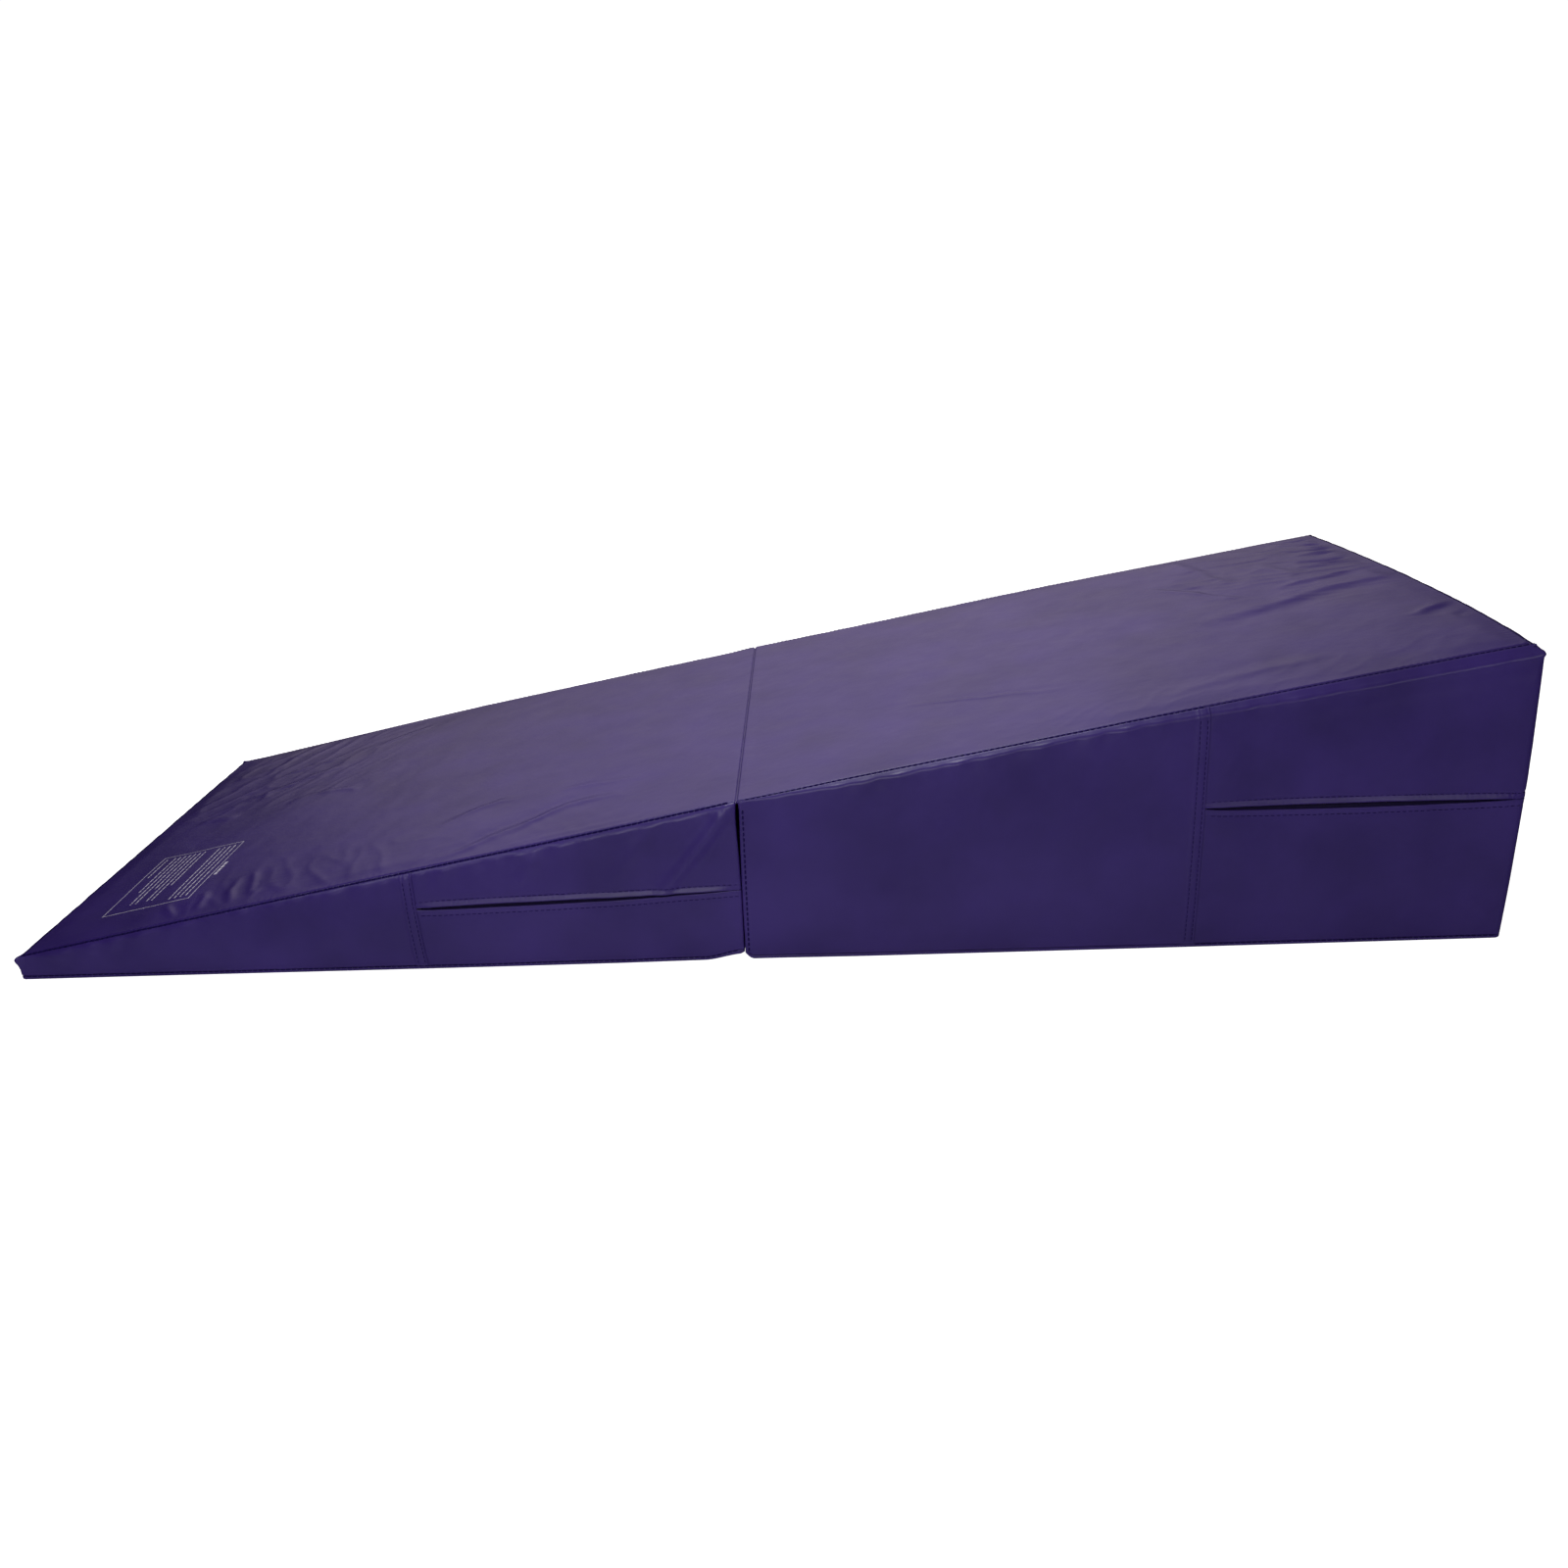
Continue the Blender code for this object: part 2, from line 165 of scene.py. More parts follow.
def hills(x, y, cell, seed):
    """Smooth random values from -1 to 1 over a plane, with hills about a cell apart."""
    random = np.random.default_rng(seed)
    slopes = random.uniform(0.0, 2 * math.pi, (NOISE_CELLS, NOISE_CELLS))
    angle = random.uniform(0.3, 1.2)
    across = (x * math.cos(angle) - y * math.sin(angle)) / cell + 11.3
    along = (x * math.sin(angle) + y * math.cos(angle)) / cell + 7.9
    column, row = np.floor(across).astype(int), np.floor(along).astype(int)
    u, v = across - column, along - row

    def corner(right, up):
        slope = slopes[(column + right) % NOISE_CELLS, (row + up) % NOISE_CELLS]
        return np.cos(slope) * (u - right) + np.sin(slope) * (v - up)

    share_u = u * u * u * (u * (6.0 * u - 15.0) + 10.0)
    share_v = v * v * v * (v * (6.0 * v - 15.0) + 10.0)
    lower = mix(corner(0, 0), corner(1, 0), share_u)
    upper = mix(corner(0, 1), corner(1, 1), share_u)
    return 1.6 * mix(lower, upper, share_v)


def ridges(x, y, cell, seed):
    """Sharp-topped random folds, from 0 to 1."""
    return (1.0 - np.abs(hills(x, y, cell, seed)) * 1.5).clip(0.0, 1.0) ** 2


def stretched(x, y, degrees, ratio):
    """Plane coordinates squeezed along one direction, so that noise in them has long folds."""
    angle = math.radians(degrees)
    along = x * math.cos(angle) + y * math.sin(angle)
    across = y * math.cos(angle) - x * math.sin(angle)
    return along / ratio, across


def smooth_route(points, count=22):
    """A Catmull-Rom curve through the points."""
    spots = np.array([points[0]] + list(points) + [points[-1]], dtype=float)
    places = np.linspace(0.0, len(points) - 1 - 1e-6, count)
    result = []
    for place in places:
        i = int(place)
        t = place - i
        a, b, c, d = spots[i:i + 4]
        result.append(0.5 * (2 * b + (c - a) * t + (2 * a - 5 * b + 4 * c - d) * t ** 2
                             + (3 * b - a - 3 * c + d) * t ** 3))
    return np.array(result)


def fold_line_relief(x, y, route, height, width, valley=0.0):
    """A crease along a route. A valley above 0 adds a hollow on the route's left, below 0 on its right."""
    line = smooth_route(route)
    low = line.min(axis=0) - 5 * width
    high = line.max(axis=0) + 5 * width
    inside = (x > low[0]) & (x < high[0]) & (y > low[1]) & (y < high[1])
    relief = np.zeros_like(x)
    if not inside.any():
        return relief
    px, py = x[inside], y[inside]
    nearest = np.full(px.shape, 1e9)
    side = np.zeros_like(px)
    place = np.zeros_like(px)
    steps = len(line) - 1
    for i in range(steps):
        start, run = line[i], line[i + 1] - line[i]
        length = max(float(np.hypot(*run)), 1e-9)
        part = (((px - start[0]) * run[0] + (py - start[1]) * run[1]) / length ** 2).clip(0.0, 1.0)
        gap_x, gap_y = px - start[0] - part * run[0], py - start[1] - part * run[1]
        distance = np.hypot(gap_x, gap_y)
        closer = distance < nearest
        nearest = np.where(closer, distance, nearest)
        turn = (run[0] * gap_y - run[1] * gap_x) / length
        side = np.where(closer, turn, side)
        place = np.where(closer, (i + part) / steps, place)
    fade = np.sin(np.pi * place.clip(0.0, 1.0)).clip(0.0, 1.0) ** 0.7
    ridge = np.exp(-(nearest / width) ** 2)
    hollow = np.exp(-((side * np.sign(valley) - 2.0 * width) / (1.5 * width)) ** 2) * (nearest < 5 * width)
    relief[inside] = height * fade * (ridge - abs(valley) * hollow)
    return relief


def spaced(start, end, step, fine=0.0, zone=0.0, at_start=True, at_end=True):
    """Places from start to end a step apart, and a fine step apart in a zone at either end."""
    places = []
    place = start
    while place < end - 1e-9:
        places.append(place)
        close = (at_start and place - start < zone) or (at_end and end - place < zone * 1.02)
        place += fine if close and fine else step
    if end - places[-1] < 0.4 * (fine or step):
        places.pop()
    return np.array(places + [end])


# ---- the sections ----------------------------------------------------------------------------------

class Section:
    """The outside of one wedge. A place round its foot is a length s, which is x along the near side."""

    def __init__(self, name, thin_corner, thick_corner):
        top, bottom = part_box(name + "_top_panel"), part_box(name + "_bottom_panel")
        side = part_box(name + "_near_side_panel")
        upper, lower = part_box(name + "_upper_zip_panel"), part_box(name + "_lower_zip_panel")
        skin = side[1].y - side[0].y
        self.name = name
        self.body = name + "_section"
        self.is_low = name == "low"
        self.x_thin, self.x_thick = bottom[0].x, bottom[1].x
        self.half = top[1].y
        self.top_from, self.top_to = top[0].x, top[1].x
        self.top = straight((top[0].x, top[0].z + skin), (top[1].x, top[1].z))
        self.seam_x = upper[0].x
        self.slit = straight(
            (self.seam_x, upper[0].z - SLIT_WIDTH / 2), (self.x_thick, lower[1].z + SLIT_WIDTH / 2))
        self.fold_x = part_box("low_top_panel")[1].x
        self.thin_corner = thin_corner
        self.thick_corner = thick_corner
        self.s_end = self.x_thick + 2 * self.half
        self.s_far_seam = self.s_end + self.x_thick - self.seam_x
        self.s_far_corner = self.s_end + self.x_thick - self.x_thin

    def rectangle(self, s):
        """The foot's outline before its corners are rounded."""
        near, end, far = s <= self.x_thick, s <= self.s_end, s <= self.s_far_corner
        thin = s < self.x_thin
        x = np.select([thin, near, end, far], [self.x_thin, s, self.x_thick, self.s_end + self.x_thick - s])
        y = np.select(
            [thin, near, end, far],
            [-self.half + self.x_thin - s, -self.half, s - self.x_thick - self.half, self.half])
        return x, y

    def slit_height(self, s):
        """The slit sits a little higher on the near side than on the far side."""
        x, _ = self.rectangle(s)
        lift = NEAR_SLIT_LIFT * (1 - ease(s, self.x_thick, self.x_thick + 0.3))
        if self.is_low:
            lift = lift * (1 - ease(x, self.seam_x, self.x_thick))
        return self.slit(x) + lift

    def corner_radius(self, x, z):
        """The low section's thick end is nearly square at the fold, and rounder further down."""
        thick = self.thick_corner
        if self.is_low:
            thick = mix(0.0022, thick, ease(self.top(self.x_thick) - z, 0.004, 0.070))
        middle = (self.x_thin + self.x_thick) / 2
        return np.where(x < middle, self.thin_corner, thick)

    def outline(self, s, z):
        """Plan points and outward directions at places round the foot, at heights z."""
        x, y = self.rectangle(s)
        radius = self.corner_radius(x, z)
        middle = (self.x_thin + self.x_thick) / 2
        toward = np.where(x < middle, -1.0, 1.0)
        edge = np.where(x < middle, self.x_thin, self.x_thick)
        side = np.where(y < 0, -1.0, 1.0)
        from_end, from_side = np.abs(edge - x), self.half - np.abs(y)
        turning = (from_end < radius) & (from_side < radius)
        reach_x, reach_y = radius - from_end, radius - from_side
        length = np.hypot(reach_x, reach_y).clip(1e-9, None)
        on_end = from_end < from_side
        out_x = np.where(turning, toward * reach_x / length, np.where(on_end, toward, 0.0))
        out_y = np.where(turning, side * reach_y / length, np.where(on_end, 0.0, side))
        x = np.where(turning, edge - toward * radius + out_x * radius, x)
        y = np.where(turning, side * (self.half - radius) + out_y * radius, y)
        return x, y, out_x, out_y

    def roll(self, s):
        """The radius with which the side rolls over to the top."""
        x, _ = self.rectangle(s)
        if self.is_low:
            side = mix(LOW_ROLL, FOLD_ROLL, ease(x, self.x_thick - 0.045, self.x_thick - 0.004))
            side = mix(side, 0.0050, ease(-x, -self.x_thin - 0.06, -self.x_thin))
            thin, thick = 0.0050, FACE_ROLL
        else:
            side = mix(HIGH_ROLL, TALL_ROLL, ease(x, 0.35, 0.80))
            side = mix(side, FOLD_ROLL, ease(-x, -self.x_thin - 0.035, -self.x_thin - 0.002))
            thin, thick = FACE_ROLL, TALL_ROLL
        return self.by_side(s, side, thick, thin)

    def chamfer(self, s):
        """The width of the flat strip between the roll and the seam, which the high section has."""
        x, _ = self.rectangle(s)
        if self.is_low:
            return np.zeros_like(x)
        side = mix(HIGH_CHAMFER * ease(x, 0.03, 0.14), TALL_CHAMFER, ease(x, 0.40, 0.76))
        return self.by_side(s, side, TALL_CHAMFER, 0.0)

    def seam_inset(self, s):
        """How far inside the foot's outline the top seam runs."""
        return self.roll(s) * (1 - math.cos(SEAM_TURN)) + self.chamfer(s) * math.sin(SEAM_TURN)

    def by_side(self, s, side, thick, thin):
        """One value along the sides, another across the thick end and another across the thin end."""
        corner = 0.004
        on_thick = ease(s, self.x_thick - corner, self.x_thick + corner)
        on_thick *= 1.0 - ease(s, self.s_end - corner, self.s_end + corner)
        on_thin = 1.0 - ease(s, self.x_thin - corner, self.x_thin + corner)
        on_thin += ease(s, self.s_far_corner - corner, self.s_far_corner + corner)
        return mix(mix(side, thick, on_thick), thin, on_thin)


# ---- relief: how far the vinyl stands out from the flat panel --------------------------------------

# Creases on the top panels as (route of (x, y) points, height, width, valley). Here and on the sides
# below, the places are those of the larger folds in the photo.
LOW_TOP_CREASES = [
    ([(-0.373, -0.341), (-0.315, -0.309), (-0.265, -0.273), (-0.229, -0.251), (-0.183, -0.241),
      (-0.143, -0.248)], 0.0016, 0.010, 0.5),
    ([(-0.394, -0.230), (-0.358, -0.197), (-0.323, -0.180), (-0.294, -0.187)], 0.0011, 0.009, 0.4),
    ([(-0.244, -0.180), (-0.190, -0.186), (-0.129, -0.198)], 0.0008, 0.010, 0.3),
    ([(-0.287, -0.341), (-0.210, -0.336), (-0.136, -0.334), (-0.107, -0.312)], 0.0008, 0.007, 0.3),
    ([(-0.728, -0.291), (-0.712, -0.315), (-0.695, -0.337)], 0.0009, 0.006, 0.3),
    ([(-0.685, -0.273), (-0.674, -0.300), (-0.667, -0.330)], 0.0009, 0.006, 0.3),
    ([(-0.652, -0.250), (-0.640, -0.290), (-0.630, -0.330)], 0.0008, 0.006, -0.3),
    ([(-0.635, -0.240), (-0.618, -0.280), (-0.600, -0.320)], 0.0008, 0.006, 0.3),
    ([(-0.778, 0.089), (-0.710, 0.128), (-0.642, 0.164)], 0.0016, 0.010, 0.6),
    ([(-0.745, 0.186), (-0.700, 0.203), (-0.652, 0.218)], 0.0010, 0.008, 0.4),
    ([(-0.624, 0.225), (-0.566, 0.264), (-0.530, 0.286)], 0.0011, 0.008, 0.4),
    ([(-0.789, 0.207), (-0.765, 0.280), (-0.738, 0.350)], 0.0010, 0.008, 0.4),
    ([(-0.688, 0.023), (-0.630, 0.043), (-0.573, 0.014)], 0.0010, 0.010, 0.4),
    ([(-0.824, 0.030), (-0.790, 0.027), (-0.760, 0.021)], 0.0010, 0.012, 0.2),
    ([(-0.129, 0.143), (-0.107, 0.125), (-0.064, 0.122)], 0.0007, 0.007, 0.4),
]
HIGH_TOP_CREASES = [
    ([(0.880, 0.297), (0.845, 0.303), (0.810, 0.322)], -0.0013, 0.008, 0.0),
    ([(0.880, 0.261), (0.845, 0.268), (0.805, 0.290)], -0.0013, 0.008, 0.0),
    ([(0.880, 0.218), (0.840, 0.227), (0.800, 0.250)], -0.0014, 0.008, 0.0),
    ([(0.880, 0.189), (0.845, 0.193), (0.815, 0.205)], -0.0012, 0.007, 0.0),
    ([(0.880, 0.143), (0.840, 0.150), (0.795, 0.172)], -0.0013, 0.009, 0.0),
    ([(0.880, 0.114), (0.840, 0.117), (0.790, 0.128)], -0.0010, 0.008, 0.0),
    ([(0.814, 0.293), (0.850, 0.250), (0.871, 0.229)], 0.0013, 0.008, 0.2),
    ([(0.810, 0.260), (0.840, 0.215), (0.870, 0.170)], 0.0013, 0.009, 0.2),
    ([(0.814, 0.143), (0.850, 0.142), (0.885, 0.150)], 0.0010, 0.008, 0.2),
    ([(0.600, -0.045), (0.700, -0.012), (0.790, 0.012), (0.884, 0.020)], 0.0014, 0.018, -0.7),
    ([(0.590, 0.190), (0.635, 0.125), (0.680, 0.045)], 0.0012, 0.009, 0.5),
    ([(0.740, 0.065), (0.800, 0.070), (0.884, 0.082)], 0.0010, 0.009, -0.5),
    ([(0.656, 0.350), (0.670, 0.250), (0.695, 0.129)], 0.0012, 0.011, 0.3),
    ([(0.756, 0.214), (0.768, 0.160), (0.778, 0.107)], 0.0011, 0.010, 0.3),
    ([(0.628, 0.186), (0.650, 0.120), (0.670, 0.057)], -0.0009, 0.012, 0.0),
    ([(0.820, -0.187), (0.850, -0.163), (0.885, -0.136)], 0.0015, 0.009, -0.6),
    ([(0.850, -0.220), (0.868, -0.205), (0.885, -0.190)], -0.0011, 0.008, 0.0),
    ([(0.205, -0.133), (0.298, -0.162), (0.398, -0.198)], 0.0006, 0.006, 0.4),
    ([(0.033, 0.014), (0.065, 0.046), (0.097, 0.078)], 0.0006, 0.006, 0.4),
    ([(0.500, -0.300), (0.590, -0.270), (0.700, -0.262)], 0.0008, 0.014, 0.3),
]
# Creases on the near sides, as routes of (x, z) points.
LOW_SIDE_CREASES = [
    ([(-0.008, 0.204), (-0.045, 0.158), (-0.104, 0.088)], 0.0068, 0.0088, 0.1),
    ([(-0.100, 0.186), (-0.125, 0.150), (-0.165, 0.104)], 0.0018, 0.0100, 0.3),
    ([(-0.235, 0.160), (-0.250, 0.135), (-0.268, 0.108)], 0.0016, 0.0080, 0.3),
    ([(-0.480, 0.075), (-0.500, 0.050), (-0.530, 0.026)], 0.0006, 0.008, 0.3),
]
HIGH_SIDE_CREASES = [
    ([(0.572, 0.262), (0.556, 0.228), (0.543, 0.205)], 0.0008, 0.006, 0.4),
    ([(0.840, 0.060), (0.855, 0.045), (0.870, 0.030)], 0.0006, 0.007, 0.3),
    ([(0.640, 0.130), (0.700, 0.110), (0.760, 0.105)], 0.0005, 0.016, 0.3),
]


def puckers(place, distance, seed, reach=0.007, pitch=0.0075):
    """Small gathers along a seam, at a distance from it."""
    beat = np.sin(2 * np.pi * place / pitch + 2.2 * hills(place, place * 0.0, 0.03, seed))
    strength = 0.55 + 0.45 * hills(place, place * 0.0, 0.06, seed + 1)
    return beat * strength * np.exp(-(distance / reach) ** 2)


def swollen(section, points):
    """The foam fills the cover out, most in the middle of each panel. At the fold nothing may stand out."""
    x, y, z = points[..., 0], points[..., 1], points[..., 2]
    length = section.x_thick - section.x_thin
    along = ((x - section.x_thin) / length).clip(0.0, 1.0)
    across = (y / section.half).clip(-1.0, 1.0)
    height = section.top(x)
    up = (z / height).clip(0.0, 1.0)
    from_fold = np.abs(x - section.fold_x)
    belly = 0.45 + 0.55 * np.sin(np.pi * up) ** 0.8
    tallness = ease(height, 0.015, 0.16)
    side = SIDE_SWELL * belly * tallness * ease(from_fold, 0.0, 0.16)
    side = side * (0.5 + 0.5 * np.sin(np.pi * along) ** 0.7)
    near = side * ease(-across, 0.75, 1.0)
    calm = 1 - ease(along, 0.45, 0.56) * np.exp(-((z - section.slit(x)) / 0.022) ** 2)
    far = side * ease(across, 0.75, 1.0) * calm * 0.8
    reach = TOP_SWELL * np.minimum(from_fold / 0.45, 1.0)
    fade = 1 - 0.35 * ease(from_fold, 0.50, 0.89)
    tilt = 1 + 0.42 * across if section.is_low else 1.0
    crown = reach * fade * tilt * (1.0 - 0.25 * np.abs(across) ** 6)
    z = z + crown * up ** 4
    y = y + far - near
    if section.is_low:
        lean = 0.0065 * (1 - up) * np.exp(-((x - section.seam_x) / 0.05) ** 2)
        x = x + lean * ease(-across, 0.75, 1.0) + 0.0028 * (1 - up) * ease(along, 0.96, 1.0)
    else:
        bow = (1.0 - across ** 2).clip(0.0, 1.0) ** 0.8
        out = CORNER_SWELL + 0.0014 * (1 - up) + END_SWELL * bow * (0.65 + 0.35 * np.sin(np.pi * up))
        x = x + out * ease(along, 0.90, 1.0) - 0.0008 * (1 - up) * (1 - ease(along, 0.0, 0.04))
        z = z + 0.0050 * bow * (1 - 0.5 * across) * ease(along, 0.80, 1.0) * up ** 4
    return np.stack([x, y, z], axis=-1)


def pushed_out_corner(x, y, z, at, reach, push):
    """Pulls everything close to a corner outwards to a small ear."""
    near = np.exp(-((x - at[0]) ** 2 + (y - at[1]) ** 2 + (z - at[2]) ** 2) / reach ** 2)
    return x + push[0] * near, y + push[1] * near, z + push[2] * near


def top_relief(section, x, y):
    """Relief of a top panel, away from its seams."""
    seed = 100 if section.is_low else 200
    relief = 0.0011 * hills(x, y, 0.26, seed) + 0.00055 * hills(x, y, 0.11, seed + 1)
    relief += 0.00022 * hills(*stretched(x, y, 70, 2.2), 0.030, seed + 2)
    if section.is_low:
        busy = ease(-x, 0.45, 0.75) * ease(y, -0.05, 0.12)
        relief += 0.0010 * busy * ridges(*stretched(x, y, 52, 2.8), 0.032, 111)
        relief += 0.0003 * busy * ridges(*stretched(x, y, 25, 2.4), 0.018, 112)
        near_edge = ease(-y, 0.15, 0.30) * ease(-x, 0.10, 0.20) * ease(x, -0.80, -0.60)
        relief += 0.0006 * near_edge * ridges(*stretched(x, y, -60, 2.4), 0.034, 113)
        creases, boost = LOW_TOP_CREASES, 1.25
    else:
        busy = ease(x, 0.55, 0.80) * ease(y, -0.15, 0.15)
        relief += 0.0011 * busy * ridges(*stretched(x, y, -20, 2.8), 0.028, 211)
        near_edge = ease(-y, 0.22, 0.31) * ease(x, 0.25, 0.45)
        relief += 0.0004 * near_edge * ridges(*stretched(x, y, 40, 2.2), 0.030, 212)
        creases, boost = HIGH_TOP_CREASES, 1.5
    bent_x = x + 0.0045 * hills(x, y, 0.050, seed + 5) + 0.0015 * hills(x, y, 0.018, seed + 6)
    bent_y = y + 0.0045 * hills(x, y, 0.050, seed + 7) + 0.0015 * hills(x, y, 0.018, seed + 8)
    for route, height, width, valley in creases:
        relief += fold_line_relief(bent_x, bent_y, route, boost * height, 0.85 * width, valley)
    from_side = section.half - np.abs(y)
    relief += 0.0018 * (1 - np.exp(-from_side / 0.07))
    from_fold = np.abs(x - section.fold_x)
    return relief * ease(from_fold, -0.02, 0.26)


def wall_relief(section, s, z):
    """Relief of the sides and ends, as a function of the place round the foot and the height."""
    seed = 300 if section.is_low else 400
    x, _ = section.rectangle(s)
    height = section.top(x)
    share = (z / height).clip(0.0, 1.0)
    on_fold_face = (s < section.x_thin) | (s > section.s_far_corner)
    if section.is_low:
        on_fold_face = (s > section.x_thick) & (s < section.s_end)
    puff = 0.0022 * np.sin(np.pi * share) ** 0.8 * ease(height, 0.02, 0.16)
    relief = puff + 0.00045 * hills(s, z, 0.16, seed)
    relief = relief + 0.00022 * hills(*stretched(s, z, 80, 1.8), 0.05, seed + 1)
    relief += 0.0005 * ridges(*stretched(s, z, 65, 2.6), 0.060, seed + 2) * ease(share, 0.1, 0.5)
    creases = LOW_SIDE_CREASES if section.is_low else HIGH_SIDE_CREASES
    for route, crease_height, width, valley in creases:
        relief = relief + fold_line_relief(s, z, route, crease_height, width, valley)
    far_run = ease(s, section.s_end, section.s_end + 0.03) * (s < section.s_far_seam + 0.02)
    calm = 1 - 0.9 * far_run * np.exp(-((z - section.slit(x)) / 0.030) ** 2)
    return np.where(on_fold_face, -0.2, 1.0) * relief * calm


# ---- meshes ----------------------------------------------------------------------------------------

def as_object(name, vertices, faces, material, smooth=True):
    """A mesh object that remembers where its points were at rest."""
    mesh = bpy.data.meshes.new(name)
    mesh.from_pydata([tuple(v) for v in vertices], [], faces)
    mesh.materials.append(material)
    mesh.shade_smooth() if smooth else mesh.shade_flat()
    rest = mesh.attributes.new("rest", "FLOAT_VECTOR", "POINT")
    rest.data.foreach_set("vector", np.asarray(vertices, dtype=np.float32).ravel())
    item = bpy.data.objects.new(name, mesh)
    bpy.context.scene.collection.objects.link(item)
    return item


def grid_faces(rows, columns, start=0, flipped=False):
    """The four-sided faces of a grid of points that are numbered row by row."""
    faces = []
    for row in range(rows - 1):
        first = start + row * columns
        for i in range(first, first + columns - 1):
            face = (i, i + 1, i + columns + 1, i + columns)
            faces.append(face[::-1] if flipped else face)
    return faces


def facing_out(points, outward):
    """Whether a grid's faces, made in row and column order, face the outward directions."""
    row, column = points.shape[0] // 2, points.shape[1] // 2
    along = points[row, column + 1] - points[row, column]
    up = points[row + 1, column] - points[row, column]
    return float(np.dot(np.cross(along, up), outward[row, column])) > 0


def grid_object(name, points, outward, material):
    """A grid of points as a mesh object whose faces look outward."""
    rows, columns = points.shape[:2]
    faces = grid_faces(rows, columns, flipped=not facing_out(points, outward))
    return as_object(name, points.reshape(-1, 3), faces, material)


def finish_piece(item, section, slot, fill, *nodes):
    """Hangs a piece on its section's body and hides the CAD parts that it replaces."""
    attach(item, section.body)
    if nodes:
        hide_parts(*nodes)
    return item


# ---- walls -----------------------------------------------------------------------------------------

class Columns:
    """The upright lines of a wall panel, one for each place s round the foot."""

    def __init__(self, section, s):
        self.section = section
        self.s = s
        self.x, _, self.out_x, _ = section.outline(s, np.full_like(s, 1.0))
        self.roll = section.roll(s)
        self.chamfer = section.chamfer(s)
        self.foot = FOOT_SEAM + foot_wave(section, s)

    def top_at(self, inset):
        return self.section.top(self.x - self.out_x * inset)

    def shoulder(self):
        return self.top_at(0.0) - self.roll - self.chamfer * math.cos(SEAM_TURN)

    def slit(self):
        return self.section.slit_height(self.s)


def foot_wave(section, s):
    """The bottom seam runs a little unevenly, and the low section's lifts at the fold."""
    wave = 0.0005 * hills(s, s * 0.0, 0.08, 500)
    if section.is_low:
        return wave + FOLD_LIFT * ease(s, section.x_thick - 0.045, section.x_thick) * (s < section.s_end)
    return wave + FACE_LIFT * (1 - ease(s, section.x_thin, section.x_thin + 0.010))


def foot_rows(columns):
    """The lower edge tucked into the bottom seam. A row is (inset, height, turn, share of the relief)."""
    foot = columns.foot
    return [(TUCK, foot, 0, 0), (GROOVE, foot + 0.0001, 0, 0), (0.0003, foot + 0.0008, 0, 0.2)]


def rising_rows(start, end, spacing=0.0034):
    """Rows from height start to height end, closer together at both ends."""
    count = max(4, int(np.max(end - start) / spacing))
    rows = []
    for i in range(count + 1):
        part = i / count
        part -= 0.55 * math.sin(2 * math.pi * part) / (2 * math.pi)
        rows.append((0.0, mix(start, end, part), 0, 1.0))
    return rows


def head_rows(columns, steps=9):
    """The roll over to the top, the groove of the top seam, and the edge tucked inside."""
    roll = columns.roll
    rise = columns.chamfer * math.cos(SEAM_TURN)
    rows = []
    for i in range(1, steps + 1):
        turn = SEAM_TURN * i / steps
        inset = roll * (1 - math.cos(turn))
        z = columns.top_at(inset) - roll * (1 - math.sin(turn)) - rise
        rows.append((inset, z, turn, 1 - 0.75 * i / steps))
    foot = rows[-1][0]
    for part in (0.25, 0.5, 0.75, 1.0):
        inset = foot + (0.0002 + columns.chamfer * math.sin(SEAM_TURN)) * part
        z = columns.top_at(inset) - roll * (1 - math.sin(SEAM_TURN)) - rise * (1 - part) + 0.0001 * part
        rows.append((inset, z, SEAM_TURN, 0.25))
    inset, z, turn, _ = rows[-1]
    rows.append((inset + 0.0004, z - 0.0006, turn, 0.25))
    rows.append((inset + 0.0006, z - SEAM_DEPTH - 0.0004, turn, 0.25))
    rows.append((inset + 0.0030, z - SEAM_DEPTH - 0.0006, turn, 0.25))
    rows.append((inset + 0.0034, z - TUCK, turn, 0.25))
    return rows


def slit_gap(section, s):
    """How far the slit's lips stand apart: a closed-ended smile on the near side, even elsewhere."""
    share = ((s - section.seam_x) / (section.x_thick - 0.012 - section.seam_x)).clip(0.0, 1.0)
    near = 0.0006 + 0.0058 * np.sin(np.pi * share ** 0.85) ** 0.6
    if section.is_low:
        near = 0.0006 + 0.0046 * np.sin(np.pi * share ** 0.6) ** 0.6
    at_far_seam = ease(s, section.s_far_seam - 0.004, section.s_far_seam)
    far = mix(0.0040, 0.0008, at_far_seam)
    past_corner = ease(s, section.x_thick, section.x_thick + 0.09)
    return mix(near, far, past_corner)


def lip_flare(section, s):
    """How far the slit's lips stand out, which is least at the corners and at the slit's ends."""
    past_corner = ease(s, section.x_thick + 0.02, section.s_end - 0.02)
    ends = ease(s, section.seam_x, section.seam_x + 0.02)
    ends = ends * (1 - ease(s, section.s_far_seam - 0.02, section.s_far_seam))
    corners = np.exp(-((s - section.x_thick) / 0.022) ** 2) + np.exp(-((s - section.s_end) / 0.022) ** 2)
    return mix(NEAR_FLARE, FAR_FLARE, past_corner) * (0.35 + 0.65 * ends) * (1 - 0.95 * corners)


